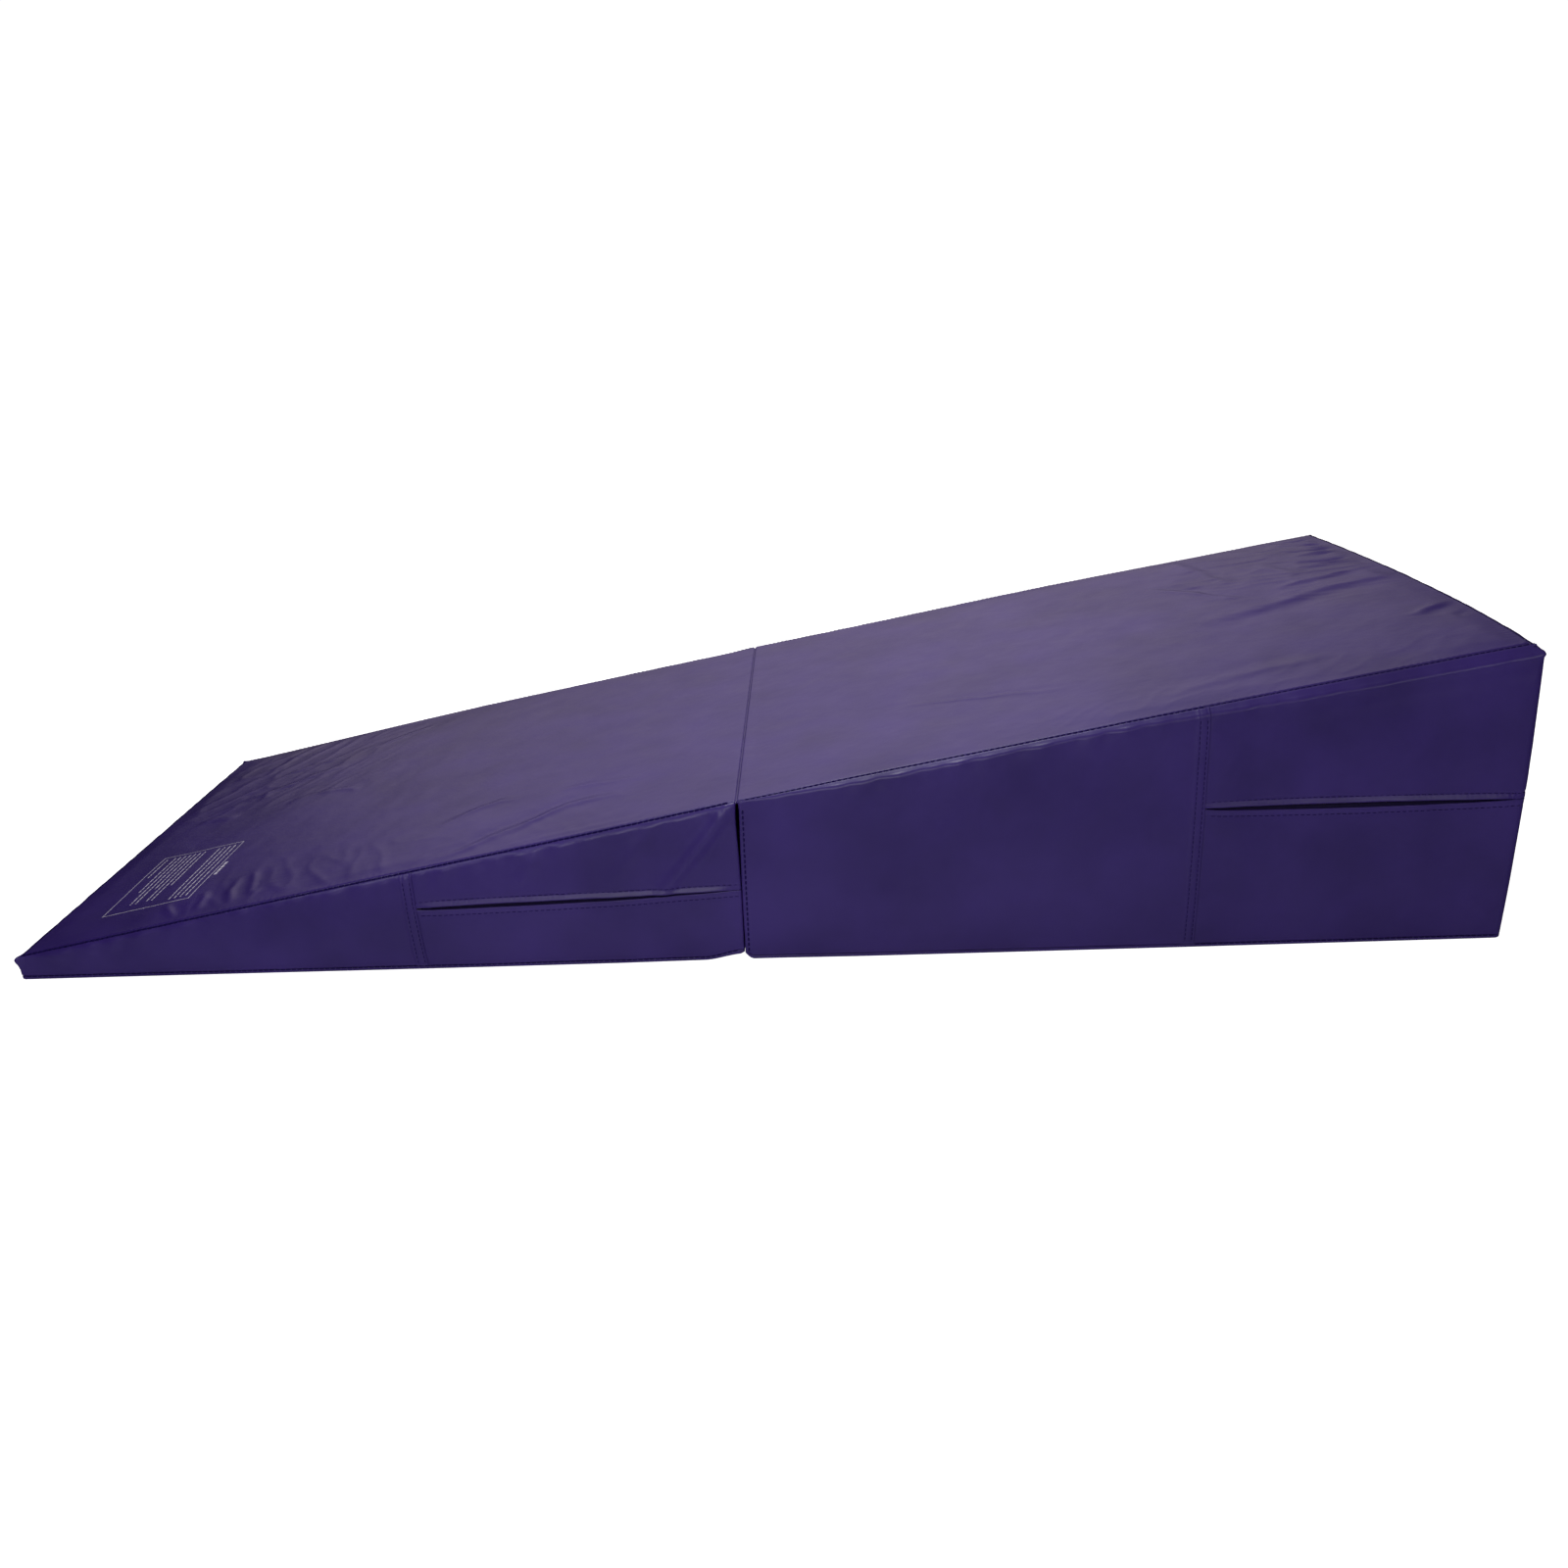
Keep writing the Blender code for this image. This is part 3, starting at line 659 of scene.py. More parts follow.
def upper_lip_rows(columns):
    """The upper lip, from its back round its edge to its hem, which is gathered in places."""
    section, s = columns.section, columns.s
    edge = columns.slit() + slit_gap(section, s) / 2
    flare = lip_flare(section, s)
    gather = 0.5 + 0.5 * np.sin(2 * np.pi * s / 0.0066 + 1.2 * hills(s, s * 0.0, 0.04, 520))
    near = 1 - ease(s, section.x_thick, section.x_thick + 0.2)
    patchy = (0.5 + 0.8 * hills(s, s * 0.0, 0.055, 521)).clip(0.0, 1.0)
    band = flare * (1 - 0.95 * gather * near * patchy)
    stitch = edge + HEM_WIDTH
    sunk = 0.0004 + 0.0014 * gather * patchy
    return [
        (LIP_BACK, edge + 0.0080, 0, 1), (LIP_BACK, edge + 0.0008, 0, 1), (0.0006, edge + 0.0002, 0, 1),
        (0.0003 - flare, edge, 0, 1), (-flare, edge + 0.0005, 0, 1), (-0.90 * flare, edge + 0.0014, 0, 1),
        (-0.68 * band, edge + 0.0028, 0, 1), (-0.36 * band, edge + 0.0043, 0, 1),
        (sunk, stitch, 0, 1), (0.45 * sunk, stitch + 0.0012, 0, 1), (0.0, stitch + 0.0030, 0, 1),
    ]


def lower_lip_rows(columns):
    """The lower lip, from its hem round its edge to its back."""
    section, s = columns.section, columns.s
    edge = columns.slit() - slit_gap(section, s) / 2
    flare = 0.55 * lip_flare(section, s)
    stitch = edge - LOWER_HEM_WIDTH
    return [
        (0.0, stitch - 0.0026, 0, 1), (0.00035, stitch, 0, 1), (0.0, stitch + 0.0022, 0, 1),
        (-0.6 * flare, edge - 0.0036, 0, 1), (-flare, edge - 0.0012, 0, 1),
        (0.0002 - flare, edge - 0.0003, 0, 1),
        (0.0005, edge, 0, 1), (LIP_BACK, edge - 0.0007, 0, 1), (LIP_BACK, edge - 0.0080, 0, 1),
    ]


def wall_points(section, s, rows, extra_inset=0.0):
    """Points and outward directions of a wall panel, row by row."""
    stacked = []
    for part in range(4):
        stacked.append(np.array([np.broadcast_to(row[part], s.shape) for row in rows], dtype=float))
    inset, z, turn, weight = stacked
    around = np.broadcast_to(s, z.shape)
    x, y, out_x, out_y = section.outline(around, z)
    distance = np.broadcast_to(extra_inset, z.shape) + inset
    by_zip = np.exp(-((z - section.slit_height(around)) / 0.012) ** 2)
    by_fold = 1 - ease(np.abs(x - section.fold_x), 0.02, 0.06)
    flatter = 0.9 * ease(y, 0.0, section.half) * np.maximum(by_zip, by_fold)
    relief = weight * (1 - flatter) * (wall_relief(section, around, z) + seam_gathers(section, around, z))
    sideways = relief * np.cos(turn) - distance
    points = np.stack([x + out_x * sideways, y + out_y * sideways, z + relief * np.sin(turn)], axis=-1)
    points = add_ears(section, points)
    outward = np.stack([out_x, out_y, np.zeros_like(z)], axis=-1)
    return points, outward


def seam_gathers(section, s, z):
    """Relief of a wall close to its top and bottom seams."""
    x, _ = section.rectangle(s)
    from_top = section.top(x) - z
    from_foot = z - FOOT_SEAM
    gathers = 0.00032 * puckers(s, from_top - 0.004, 530, reach=0.008)
    gathers += 0.0019 * hills(s, 0.5 * z, 0.022, 532) * np.exp(-((from_top - 0.007) / 0.011) ** 2)
    if not section.is_low:
        tall = ease(x, 0.56, 0.72) * (s < section.x_thick)
        gathers += 0.0014 * tall * np.exp(-((from_top - 0.0110) / 0.0042) ** 2)
        gathers -= 0.0012 * tall * np.exp(-((from_top - 0.0260) / 0.0110) ** 2)
    return gathers + 0.00025 * puckers(s, from_foot, 531, reach=0.006, pitch=0.0085)


def add_ears(section, points):
    """The sewn corners at the nose and at the tall end stand out to small points."""
    x, y, z = points[..., 0], points[..., 1], points[..., 2]
    if section.is_low:
        at_x, push_x, reach = section.x_thin, -0.0030, 0.007
    else:
        at_x, push_x, reach = section.x_thick, 0.0030, 0.0065
    height = section.top(at_x) - (0.004 if section.is_low else 0.008)
    for side in (-1, 1):
        at = (at_x, side * section.half, height)
        x, y, z = pushed_out_corner(x, y, z, at, reach, (push_x, side * 0.0030, 0.0012))
    return swollen(section, np.stack([x, y, z], axis=-1))


def side_panel_places(section, far):
    """Places and insets across a plain side panel: tucked at the thin corner, lapped at the seam."""
    length = section.seam_x - section.x_thin
    from_corner = spaced(0.0, length, 0.0034, fine=0.0011, zone=0.016)
    inset = np.zeros_like(from_corner)
    from_seam = length - from_corner
    inset -= LAP_RISE * ease(-from_seam, -LAP_WIDTH - 0.0015, -LAP_WIDTH)
    for row in LAP_ROWS:
        inset += 0.0005 * np.exp(-((from_seam - row) / 0.0011) ** 2)
    inset += 0.0006 * np.exp(-((from_corner - 0.0048) / 0.0012) ** 2)
    inset[0] = GROOVE
    from_corner = np.concatenate([[0.0], from_corner, [length, length - 0.0010]])
    inset = np.concatenate([[TUCK], inset, [0.0004, 0.0010]])
    s = section.x_thin + from_corner
    if far:
        s = section.s_far_corner - from_corner
    return s, inset


def make_side_panel(section, far, vinyl):
    """The plain panel on one side, between the thin end and the zip bands."""
    s, inset = side_panel_places(section, far)
    columns = Columns(section, s)
    rows = foot_rows(columns) + rising_rows(columns.foot + 0.0020, columns.shoulder()) + head_rows(columns)
    points, outward = wall_points(section, s, rows, inset)
    side = "far" if far else "near"
    item = grid_object(f"{section.name}_{side}_side_cover", points, outward, vinyl)
    return finish_piece(item, section, "vinyl", 0.9, f"{section.name}_{side}_side_panel")


def make_thin_end(section, node, vinyl):
    """The panel across the thin end: the nose strip, or the high section's face at the fold."""
    width = 2 * section.half
    across = spaced(0.0, width, 0.0040, fine=0.0011, zone=0.014)
    inset = np.zeros_like(across)
    inset[0] = inset[-1] = GROOVE
    across = np.concatenate([[0.0], across, [width]])
    inset = np.concatenate([[TUCK], inset, [TUCK]])
    s = section.x_thin - across
    columns = Columns(section, s)
    rows = foot_rows(columns) + rising_rows(columns.foot + 0.0020, columns.shoulder()) + head_rows(columns)
    points, outward = wall_points(section, s, rows, inset)
    item = grid_object(node.replace("_panel", "").replace("_strip", "") + "_cover", points, outward, vinyl)
    return finish_piece(item, section, "vinyl", 0.9, node)


def zip_band_places(section):
    """Places along the zip bands, which start under the side panels' laps."""
    start, end = section.seam_x - 0.004, section.s_far_seam + 0.004
    corner = section.x_thick
    zone = 0.020
    near = spaced(start, corner, 0.0027, fine=0.0011, zone=zone, at_start=False)
    face = spaced(corner, section.s_end, 0.0040, fine=0.0011, zone=zone)
    far = spaced(section.s_end, end, 0.0032, fine=0.0011, zone=zone, at_end=False)
    s = np.concatenate([near, face[1:], far[1:]])
    under = 1 - ease(s, section.seam_x - 0.0010, section.seam_x + 0.0014)
    under += ease(s, section.s_far_seam - 0.0014, section.s_far_seam + 0.0010)
    return s, 0.0004 * under


def make_zip_bands(section, vinyl):
    """The bands above and below the slit, which run from the near side round the thick end."""
    s, inset = zip_band_places(section)
    columns = Columns(section, s)
    upper_lip = upper_lip_rows(columns)
    lower_lip = lower_lip_rows(columns)
    upper = upper_lip + rising_rows(upper_lip[-1][1] + 0.0030, columns.shoulder()) + head_rows(columns)
    lower = foot_rows(columns) + rising_rows(columns.foot + 0.0020, lower_lip[0][1] - 0.0030) + lower_lip
    for side, rows in (("upper", upper), ("lower", lower)):
        points, outward = wall_points(section, s, rows, inset)
        item = grid_object(f"{section.name}_{side}_zip_cover", points, outward, vinyl)
        finish_piece(item, section, "vinyl", 0.9, f"{section.name}_{side}_zip_panel")


# ---- flat panels -----------------------------------------------------------------------------------

def sheet_grid(from_thin, from_near, frame_box, corner_radii):
    """Plan positions, edge distances and outward directions of a grid that fills a round-cornered box.

    The places are distances inside the thin and near edges. Those below 0 lie in the seams."""
    x_from, x_to, half = frame_box
    length, width = x_to - x_from, 2 * half
    a, b = np.meshgrid(from_thin, from_near)
    thin, near = a < length / 2, b < width / 2
    in_x, in_y = np.where(thin, a, length - a), np.where(near, b, width - b)
    toward, side = np.where(thin, -1.0, 1.0), np.where(near, -1.0, 1.0)
    radius = np.where(thin, *corner_radii)
    edge = np.where(thin, x_from, x_to)
    turning = (in_x < radius) & (in_y < radius)
    reach_x, reach_y = radius - in_x, radius - in_y
    length_out = np.hypot(reach_x, reach_y).clip(1e-9, None)
    on_end = in_x < in_y
    out_x = np.where(turning, toward * reach_x / length_out, np.where(on_end, toward, 0.0))
    out_y = np.where(turning, side * reach_y / length_out, np.where(on_end, 0.0, side))
    inside = np.minimum(in_x, in_y)
    shown = inside.clip(0.0, None)
    corner_x = edge - toward * radius + out_x * (radius - shown)
    corner_y = side * (half - radius) + out_y * (radius - shown)
    x = np.where(turning, corner_x, edge - toward * in_x.clip(0.0, None))
    y = np.where(turning, corner_y, side * (half - in_y.clip(0.0, None)))
    return x, y, inside, out_x, out_y


def seam_places(length, step, edge_steps):
    """Distances across a panel with close rows by both seams, and two rows tucked in each seam."""
    edge = np.array([-0.002, -0.001] + edge_steps)
    middle = np.linspace(edge_steps[-1], length - edge_steps[-1], int(length / step))
    return np.concatenate([edge, middle[1:-1], length - edge[::-1]])


def edge_drop(inside, width):
    """How far the panel's surface lies below its plane, near and in the seam."""
    drop = SEAM_DEPTH * np.exp(-(inside.clip(0.0, None) / width) ** 2)
    drop = np.where(inside < -0.0005, SEAM_DEPTH + 0.0008, drop)
    return np.where(inside < -0.0015, TUCK, drop)


def make_top_panel(section, vinyl):
    """The top of one section, sunk a little at its seams."""
    on_each_edge = [section.x_thin + 0.2, section.x_thin - section.half, section.x_thick + section.half]
    near, thin, thick = section.seam_inset(np.array(on_each_edge)) + SEAM_LIP
    if section.is_low:
        box = (section.x_thin + thin, section.top_to, section.half - near)
        radii = (0.0012, 0.0008)
    else:
        box = (section.top_from, section.x_thick - thick, section.half - near)
        radii = (0.0008, 0.0012)
    edge_steps = [0.0, 0.0005, 0.0010, 0.0015, 0.0021, 0.0030, 0.0045, 0.0066, 0.0090]
    from_thin = seam_places(box[1] - box[0], 0.0030, edge_steps)
    from_near = seam_places(2 * box[2], 0.0030, edge_steps)
    x, y, inside, *_ = sheet_grid(from_thin, from_near, box, radii)
    on_side = x.clip(section.x_thin + 0.004, section.x_thick - 0.004)
    seam_half = section.half - section.seam_inset(on_side) - SEAM_LIP
    y = y * seam_half / box[2]
    points = top_points(section, x, y, inside)
    outward = np.broadcast_to(np.array([0.0, 0.0, 1.0]), points.shape)
    item = grid_object(section.name + "_top_cover", points, outward, vinyl)
    finish_piece(item, section, "vinyl", 0.9, section.name + "_top_panel")
    flatten_when_folded(item, section)
    return item


def flatten_when_folded(item, section):
    """Gives the piece a mesh of its own."""
    length = section.x_thick - section.x_thin
    rise = section.top(section.x_thick) - section.top(section.x_thin)
    middle = section.x_thin + length / 2
    anchor = (middle, 0.0, float(section.top(middle)) - SEAM_DEPTH)
    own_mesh(item)


def top_points(section, x, y, inside):
    """The top panel's surface over plan points at distances inside its seams."""
    z = section.top(x) - edge_drop(inside, 0.0017 if section.is_low else 0.0009)
    soft = ease(inside, 0.0, 0.030)
    z = z + top_relief(section, x, y) * soft
    from_side = section.half - np.abs(y)
    on_side = from_side < np.minimum(x - section.top_from, section.top_to - x)
    place = np.where(on_side, x, y)
    gather = 0.00045 * puckers(place, inside - 0.004, 540, reach=0.008)
    z = z + gather * ease(inside, 0.0, 0.002) * ease(np.abs(x - section.fold_x), 0.004, 0.03)
    if not section.is_low:
        z = z + 0.0004 * (1 - ease(x, section.fold_x + 0.0095, section.fold_x + 0.0110))
    return add_ears(section, np.stack([x, y, z], axis=-1))


def make_bottom_panel(section, vinyl):
    """The underside, whose edges curl up the sides to the bottom seam."""
    box = (section.x_thin, section.x_thick, section.half)
    radii = (section.thin_corner, section.thick_corner)
    edge_steps = [0.0, 0.0013, 0.0026, 0.0033, 0.0040, 0.0046, 0.0052, 0.0068, 0.0100, 0.0140]
    from_thin = seam_places(box[1] - box[0], 0.0060, edge_steps)
    from_near = seam_places(2 * box[2], 0.0060, edge_steps)
    x, y, inside, out_x, out_y = sheet_grid(from_thin, from_near, box, radii)
    upright = FOOT_SEAM - 0.0003 - FOOT_CURL
    curl = FOOT_CURL * math.pi / 2
    turn = ((upright + curl - inside) / FOOT_CURL).clip(0.0, math.pi / 2)
    wanted = FOOT_CURL * (1 - np.sin(turn)) + (inside - upright - curl).clip(0.0, None)
    shift = inside.clip(0.0, None) - wanted
    shift = shift * ease(-inside, -0.030, -0.008)
    tuck = np.where(inside < -0.0015, TUCK, np.where(inside < -0.0005, GROOVE, 0.0))
    x, y = x + out_x * (shift - tuck), y + out_y * (shift - tuck)
    z = FOOT_CURL * (1 - np.cos(turn)) + (upright - inside.clip(0.0, None)).clip(0.0, None)
    if section.is_low:
        lift = FOLD_LIFT * ease(x, section.x_thick - 0.045, section.x_thick)
    else:
        lift = FACE_LIFT * (1 - ease(x, section.x_thin, section.x_thin + 0.010))
    z = z + lift * ease(0.020 - inside, 0.0, 0.020)
    soft = ease(inside, 0.008, 0.05)
    wrinkle = 0.0007 + 0.0005 * hills(x, y, 0.20, 610) + 0.0003 * hills(*stretched(x, y, 35, 2.0), 0.05, 611)
    z = z + soft * wrinkle.clip(0.0, None)
    points = swollen(section, np.stack([x, y, z], axis=-1))
    outward = np.broadcast_to(np.array([0.0, 0.0, -1.0]), points.shape)
    item = grid_object(section.name + "_bottom_cover", points, outward, vinyl)
    return finish_piece(item, section, "vinyl", 0.9, section.name + "_bottom_panel")


# ---- foam ------------------------------------------------------------------------------------------

def make_foam(section, foam):
    """The foam wedge, a little smaller than its cover, with soft edges and a squashed band at the zip."""
    gap, edge = FOAM_GAP, FOAM_EDGE
    s_thin = spaced(section.x_thin, section.x_thick, 0.012, fine=0.002, zone=0.02)
    s_end = spaced(section.x_thick, section.s_end, 0.012, fine=0.002, zone=0.02)[1:]
    s_far = spaced(section.s_end, section.s_far_corner, 0.012, fine=0.002, zone=0.02)[1:]
    s_back = section.x_thin - spaced(0.0, 2 * section.half, 0.012, fine=0.002, zone=0.02)[::-1][1:-1]
    s = np.concatenate([s_thin, s_end, s_far, s_back])
    x, y, out_x, out_y = section.outline(s, np.full_like(s, 0.03))
    rows = []
    x_in = x - out_x * gap
    height = section.top(x_in) - gap
    zip_zone = (s > section.seam_x) & (s < section.s_far_seam)
    slit = section.slit_height(s)
    foot = np.full_like(s, gap / 2)
    if section.is_low:
        foot += FOLD_LIFT * ease(x, section.x_thick - 0.060, section.x_thick - 0.008)
    for turn in (0.0, 0.5, 1.0):
        angle = turn * math.pi / 2
        rows.append((gap + edge * (1 - math.sin(angle)), foot + edge * (1 - math.cos(angle))))
    low, high = foot + edge, height - edge
    for part in np.linspace(0.08, 0.92, 12):
        z = mix(low, high, part)
        dent = FOAM_DENT * np.exp(-((z - slit) / 0.014) ** 2) * zip_zone
        rows.append((gap + dent, z))
    for turn in (0.0, 0.5, 1.0):
        angle = turn * math.pi / 2
        rows.append((gap + edge * (1 - math.cos(angle)), high + edge * math.sin(angle)))
    count = len(s)
    vertices = []
    for inset, z in rows:
        inset, z = np.broadcast_to(inset, s.shape), np.broadcast_to(z, s.shape)
        vertices.append(np.stack([x - out_x * inset, y - out_y * inset, z], axis=-1))
    vertices = np.concatenate(vertices)
    faces = [tuple(range(count))]
    for row in range(len(rows) - 1):
        for i in range(count):
            j = (i + 1) % count
            first = row * count
            faces.append((first + i, first + count + i, first + count + j, first + j))
    last = (len(rows) - 1) * count
    faces.append(tuple(range(last + count - 1, last - 1, -1)))
    faces = [face[::-1] for face in faces]
    item = as_object(section.name + "_foam", vertices, faces, foam)
    item.data.set_sharp_from_angle(angle=SHARP_ANGLE)
    return finish_piece(item, section, "foam", 1.0, section.name + "_foam_core")


# ---- thread, and the painted shade line of the top seam --------------------------------------------

def stitch_mesh(points, normals, pitch=STITCH_PITCH, length=STITCH_LENGTH, radius=THREAD_RADIUS):
    """Vertices and faces of stitches along a line of points: short rounded threads that dip at their ends."""
    steps = np.linalg.norm(np.diff(points, axis=0), axis=1)
    run = np.concatenate([[0.0], np.cumsum(steps)])
    count = int((run[-1] - length) / pitch)
    starts = (run[-1] - count * pitch - length) / 2 + pitch * np.arange(count + 1)
    shares = np.array([0.0, 0.12, 0.5, 0.88, 1.0])
    rises = np.array([-0.0007, 0.0001, 0.00025, 0.0001, -0.0007])
    widths = np.array([0.5, 1.0, 1.0, 1.0, 0.5])
    sides = 6
    vertices, faces = [], []
    for start in starts:
        places = start + length * shares
        centre = np.stack([np.interp(places, run, points[:, k]) for k in range(3)], axis=-1)
        normal = np.stack([np.interp(places, run, normals[:, k]) for k in range(3)], axis=-1)
        normal /= np.linalg.norm(normal, axis=1)[:, None]
        along = centre[-1] - centre[0]
        along /= np.linalg.norm(along)
        across = np.cross(normal, along)
        centre = centre + normal * rises[:, None]
        first = len(vertices)
        for k in range(5):
            for corner in range(sides):
                angle = 2 * math.pi * corner / sides
                spot = math.cos(angle) * across[k] + math.sin(angle) * normal[k]
                vertices.append(centre[k] + spot * radius * widths[k])
        for k in range(4):
            for corner in range(sides):
                i, j = first + k * sides + corner, first + k * sides + (corner + 1) % sides
                faces.append((i, j, j + sides, i + sides))
        faces.append(tuple(range(first + sides - 1, first - 1, -1)))
        faces.append(tuple(range(first + 4 * sides, first + 5 * sides)))
    return vertices, faces


def joined(name, meshes, material):
    """One object from several (vertices, faces) pairs."""
    vertices, faces = [], []
    for some_vertices, some_faces in meshes:
        start = len(vertices)
        vertices += list(some_vertices)
        faces += [tuple(i + start for i in face) for face in some_faces]
    return as_object(name, np.array(vertices), faces, material)


def top_seam_line(section, s):
    """The groove between the side and the top, with directions between the two surfaces' own."""
    columns = Columns(section, s)
    inset = section.seam_inset(s)
    z = columns.top_at(inset) - columns.roll * (1 - math.sin(SEAM_TURN))
    lift = math.radians(55)
    rows = [(inset + 0.0013, z + 0.0001, SEAM_TURN, 0.25)]
    points, outward = wall_points(section, s, rows)
    normals = outward[0] * math.cos(lift)
    normals[:, 2] = math.sin(lift)
    return points[0], normals


def foot_seam_line(section, s):
    """The bottom seam, with the wall's own outward directions."""
    columns = Columns(section, s)
    points, outward = wall_points(section, s, [(0.0002, columns.foot - 0.0001, 0, 0)])
    return points[0], outward[0]


def surface_line(section, s, z, inset):
    """A line on a wall, with the wall's own relief."""
    x, y, out_x, out_y = section.outline(s, z)
    relief = wall_relief(section, s, z) + seam_gathers(section, s, z) - inset
    points = swollen(section, np.stack([x + out_x * relief, y + out_y * relief, z], axis=-1))
    normals = np.stack([out_x, out_y, np.zeros_like(z)], axis=-1)
    return points, normals


def make_stitches(section, thread_and_seam_shade):
    """All the sewing that shows on one section. The near top seam's thread is thick and dark, painted shade
    for its groove's shadow line.
    """
    step = 0.004
    sides = [
        (section.x_thin + 0.006, section.x_thick - 0.003),
        (section.s_end + 0.003, section.s_far_corner - 0.006),
    ]
    if section.is_low:
        ends = [(section.x_thin - 2 * section.half + 0.006, section.x_thin - 0.006)]
    else:
        ends = [(section.x_thick + 0.006, section.s_end - 0.006)]
    meshes = []
    for start, end in sides + ends:
        s = np.arange(start, end, step)
        style = TOP_STITCHES
        # The near top seam takes the thick dark rows that paint its groove's shadow line.
        if section.is_low and start == sides[0][0]:
            style = LOW_NEAR_STITCHES_AND_SHADE_LINE
        elif start == sides[0][0]:
            by_panel = s[s < section.seam_x]
            meshes.append(stitch_mesh(*top_seam_line(section, by_panel), **HIGH_NEAR_STITCHES_AND_SHADE_LINE))
            s, style = s[s >= section.seam_x], HIGH_BAND_STITCHES
        meshes.append(stitch_mesh(*top_seam_line(section, s), **style))
        meshes.append(stitch_mesh(*foot_seam_line(section, s), **FOOT_STITCHES))
    for seam, inward in ((section.seam_x, -1), (section.s_far_seam, 1)):
        top = section.top(section.seam_x) - LOW_ROLL
        z = np.arange(FOOT_SEAM + 0.003, top, step)
        for row in LAP_ROWS:
            s = np.full_like(z, seam + inward * row)
            line = surface_line(section, s, z, 0.0004 - LAP_RISE)
            meshes.append(stitch_mesh(*line, **LAP_STITCHES))
    s = np.arange(section.seam_x + 0.004, section.s_far_seam - 0.004, step)
    columns = Columns(section, s)
    gap = slit_gap(section, s) / 2
    upper, lower = columns.slit() + gap + HEM_WIDTH, columns.slit() - gap - LOWER_HEM_WIDTH
    for z, inset in ((upper, 0.0007), (lower, 0.0003)):
        meshes.append(stitch_mesh(*surface_line(section, s, z, inset), **HEM_STITCHES))
    if not section.is_low:
        for corner in (section.x_thin + 0.0048, section.s_far_corner - 0.0048):
            z = np.arange(FOOT_SEAM + 0.003, section.top(section.x_thin) - 0.006, step)
            line = surface_line(section, np.full_like(z, corner), z, 0.0006)
            meshes.append(stitch_mesh(*line, **CORNER_STITCHES))
    item = joined(section.name + "_stitching_and_seam_shade", meshes, thread_and_seam_shade)
    return finish_piece(item, section, "zip_tape", 0)


# ---- zips ------------------------------------------------------------------------------------------

TAPE_DEPTH = 0.0040
TOOTH_PITCH = 0.0021


def make_zip_tape(section, upper, tape):
    """One tape with its row of teeth, which reach across the middle of the slit."""
    side = 1 if upper else -1
    margin = 0.0025
    start, end = section.seam_x + margin, section.s_far_seam - margin
    near = spaced(start, section.x_thick, 0.006, fine=0.002, zone=0.02, at_start=False)
    face = spaced(section.x_thick, section.s_end, 0.006, fine=0.002, zone=0.02)[1:]
    far = spaced(section.s_end, end, 0.006, fine=0.002, zone=0.02, at_end=False)[1:]
    s = np.concatenate([near, face, far])
    columns = Columns(section, s)
    slit = columns.slit()
    profile = [
        (TAPE_DEPTH, 0.0155), (TAPE_DEPTH, 0.0120), (TAPE_DEPTH, 0.0080), (TAPE_DEPTH, 0.0045),
        (TAPE_DEPTH - 0.0002, 0.0024), (TAPE_DEPTH, 0.0020), (TAPE_DEPTH + 0.0006, 0.0022),
        (TAPE_DEPTH + 0.0007, 0.0060), (TAPE_DEPTH + 0.0007, 0.0155),
    ]
    rows = [(inset, slit + side * away) for inset, away in profile]
    x, y, out_x, out_y = section.outline(s, slit)
    grid = []
    for inset, z in rows + rows[:1]:
        grid.append(np.stack([x - out_x * inset, y - out_y * inset, z], axis=-1))
    points = np.array(grid)
    count = points.shape[1]
    faces = grid_faces(len(grid), count, flipped=not upper)
    meshes = [(points.reshape(-1, 3), faces)]
    meshes.append(teeth_mesh(section, start + 0.004, end - 0.004, side))
    word = "upper" if upper else "lower"
    item = joined(f"{section.name}_{word}_tape", meshes, tape)
    item.data.set_sharp_from_angle(angle=SHARP_ANGLE)
    return finish_piece(item, section, "zip_tape", 0, f"{section.name}_{word}_zip_tape")


def teeth_mesh(section, start, end, side):
    """Teeth as rounded bars, half a pitch out of step with those of the other tape."""
    offset = 0.5 * TOOTH_PITCH if side < 0 else 0.0
    s = np.arange(start + offset, end, TOOTH_PITCH)
    slit = section.slit_height(s)
    x, y, out_x, out_y = section.outline(s, slit)
    depth = 0.0041
    ring = [(0.00045, 0.0), (0.0, 0.00085), (-0.00045, 0.0), (0.0, -0.00085)]
    vertices, faces = [], []
    for k in range(len(s)):
        out = np.array([out_x[k], out_y[k], 0.0])
        along = np.array([-out_y[k], out_x[k], 0.0])
        base = np.array([x[k], y[k], slit[k]])
        first = len(vertices)
        for away, swell in ((0.0032, 0.9), (0.0018, 1.0), (-0.0006, 1.1), (-0.0012, 0.6)):
            for sideways, outwards in ring:
                spot = base - out * depth + out * outwards * swell + along * sideways * swell
                vertices.append(spot + np.array([0.0, 0.0, side * away]))
        for row in range(3):
            for corner in range(4):
                i, j = first + 4 * row + corner, first + 4 * row + (corner + 1) % 4
                face = (i, j, j + 4, i + 4)
                faces.append(face if side < 0 else face[::-1])
        cap = (first + 12, first + 13, first + 14, first + 15)
        faces.append(cap if side < 0 else cap[::-1])
    return vertices, faces


# ---- the fold --------------------------------------------------------------------------------------

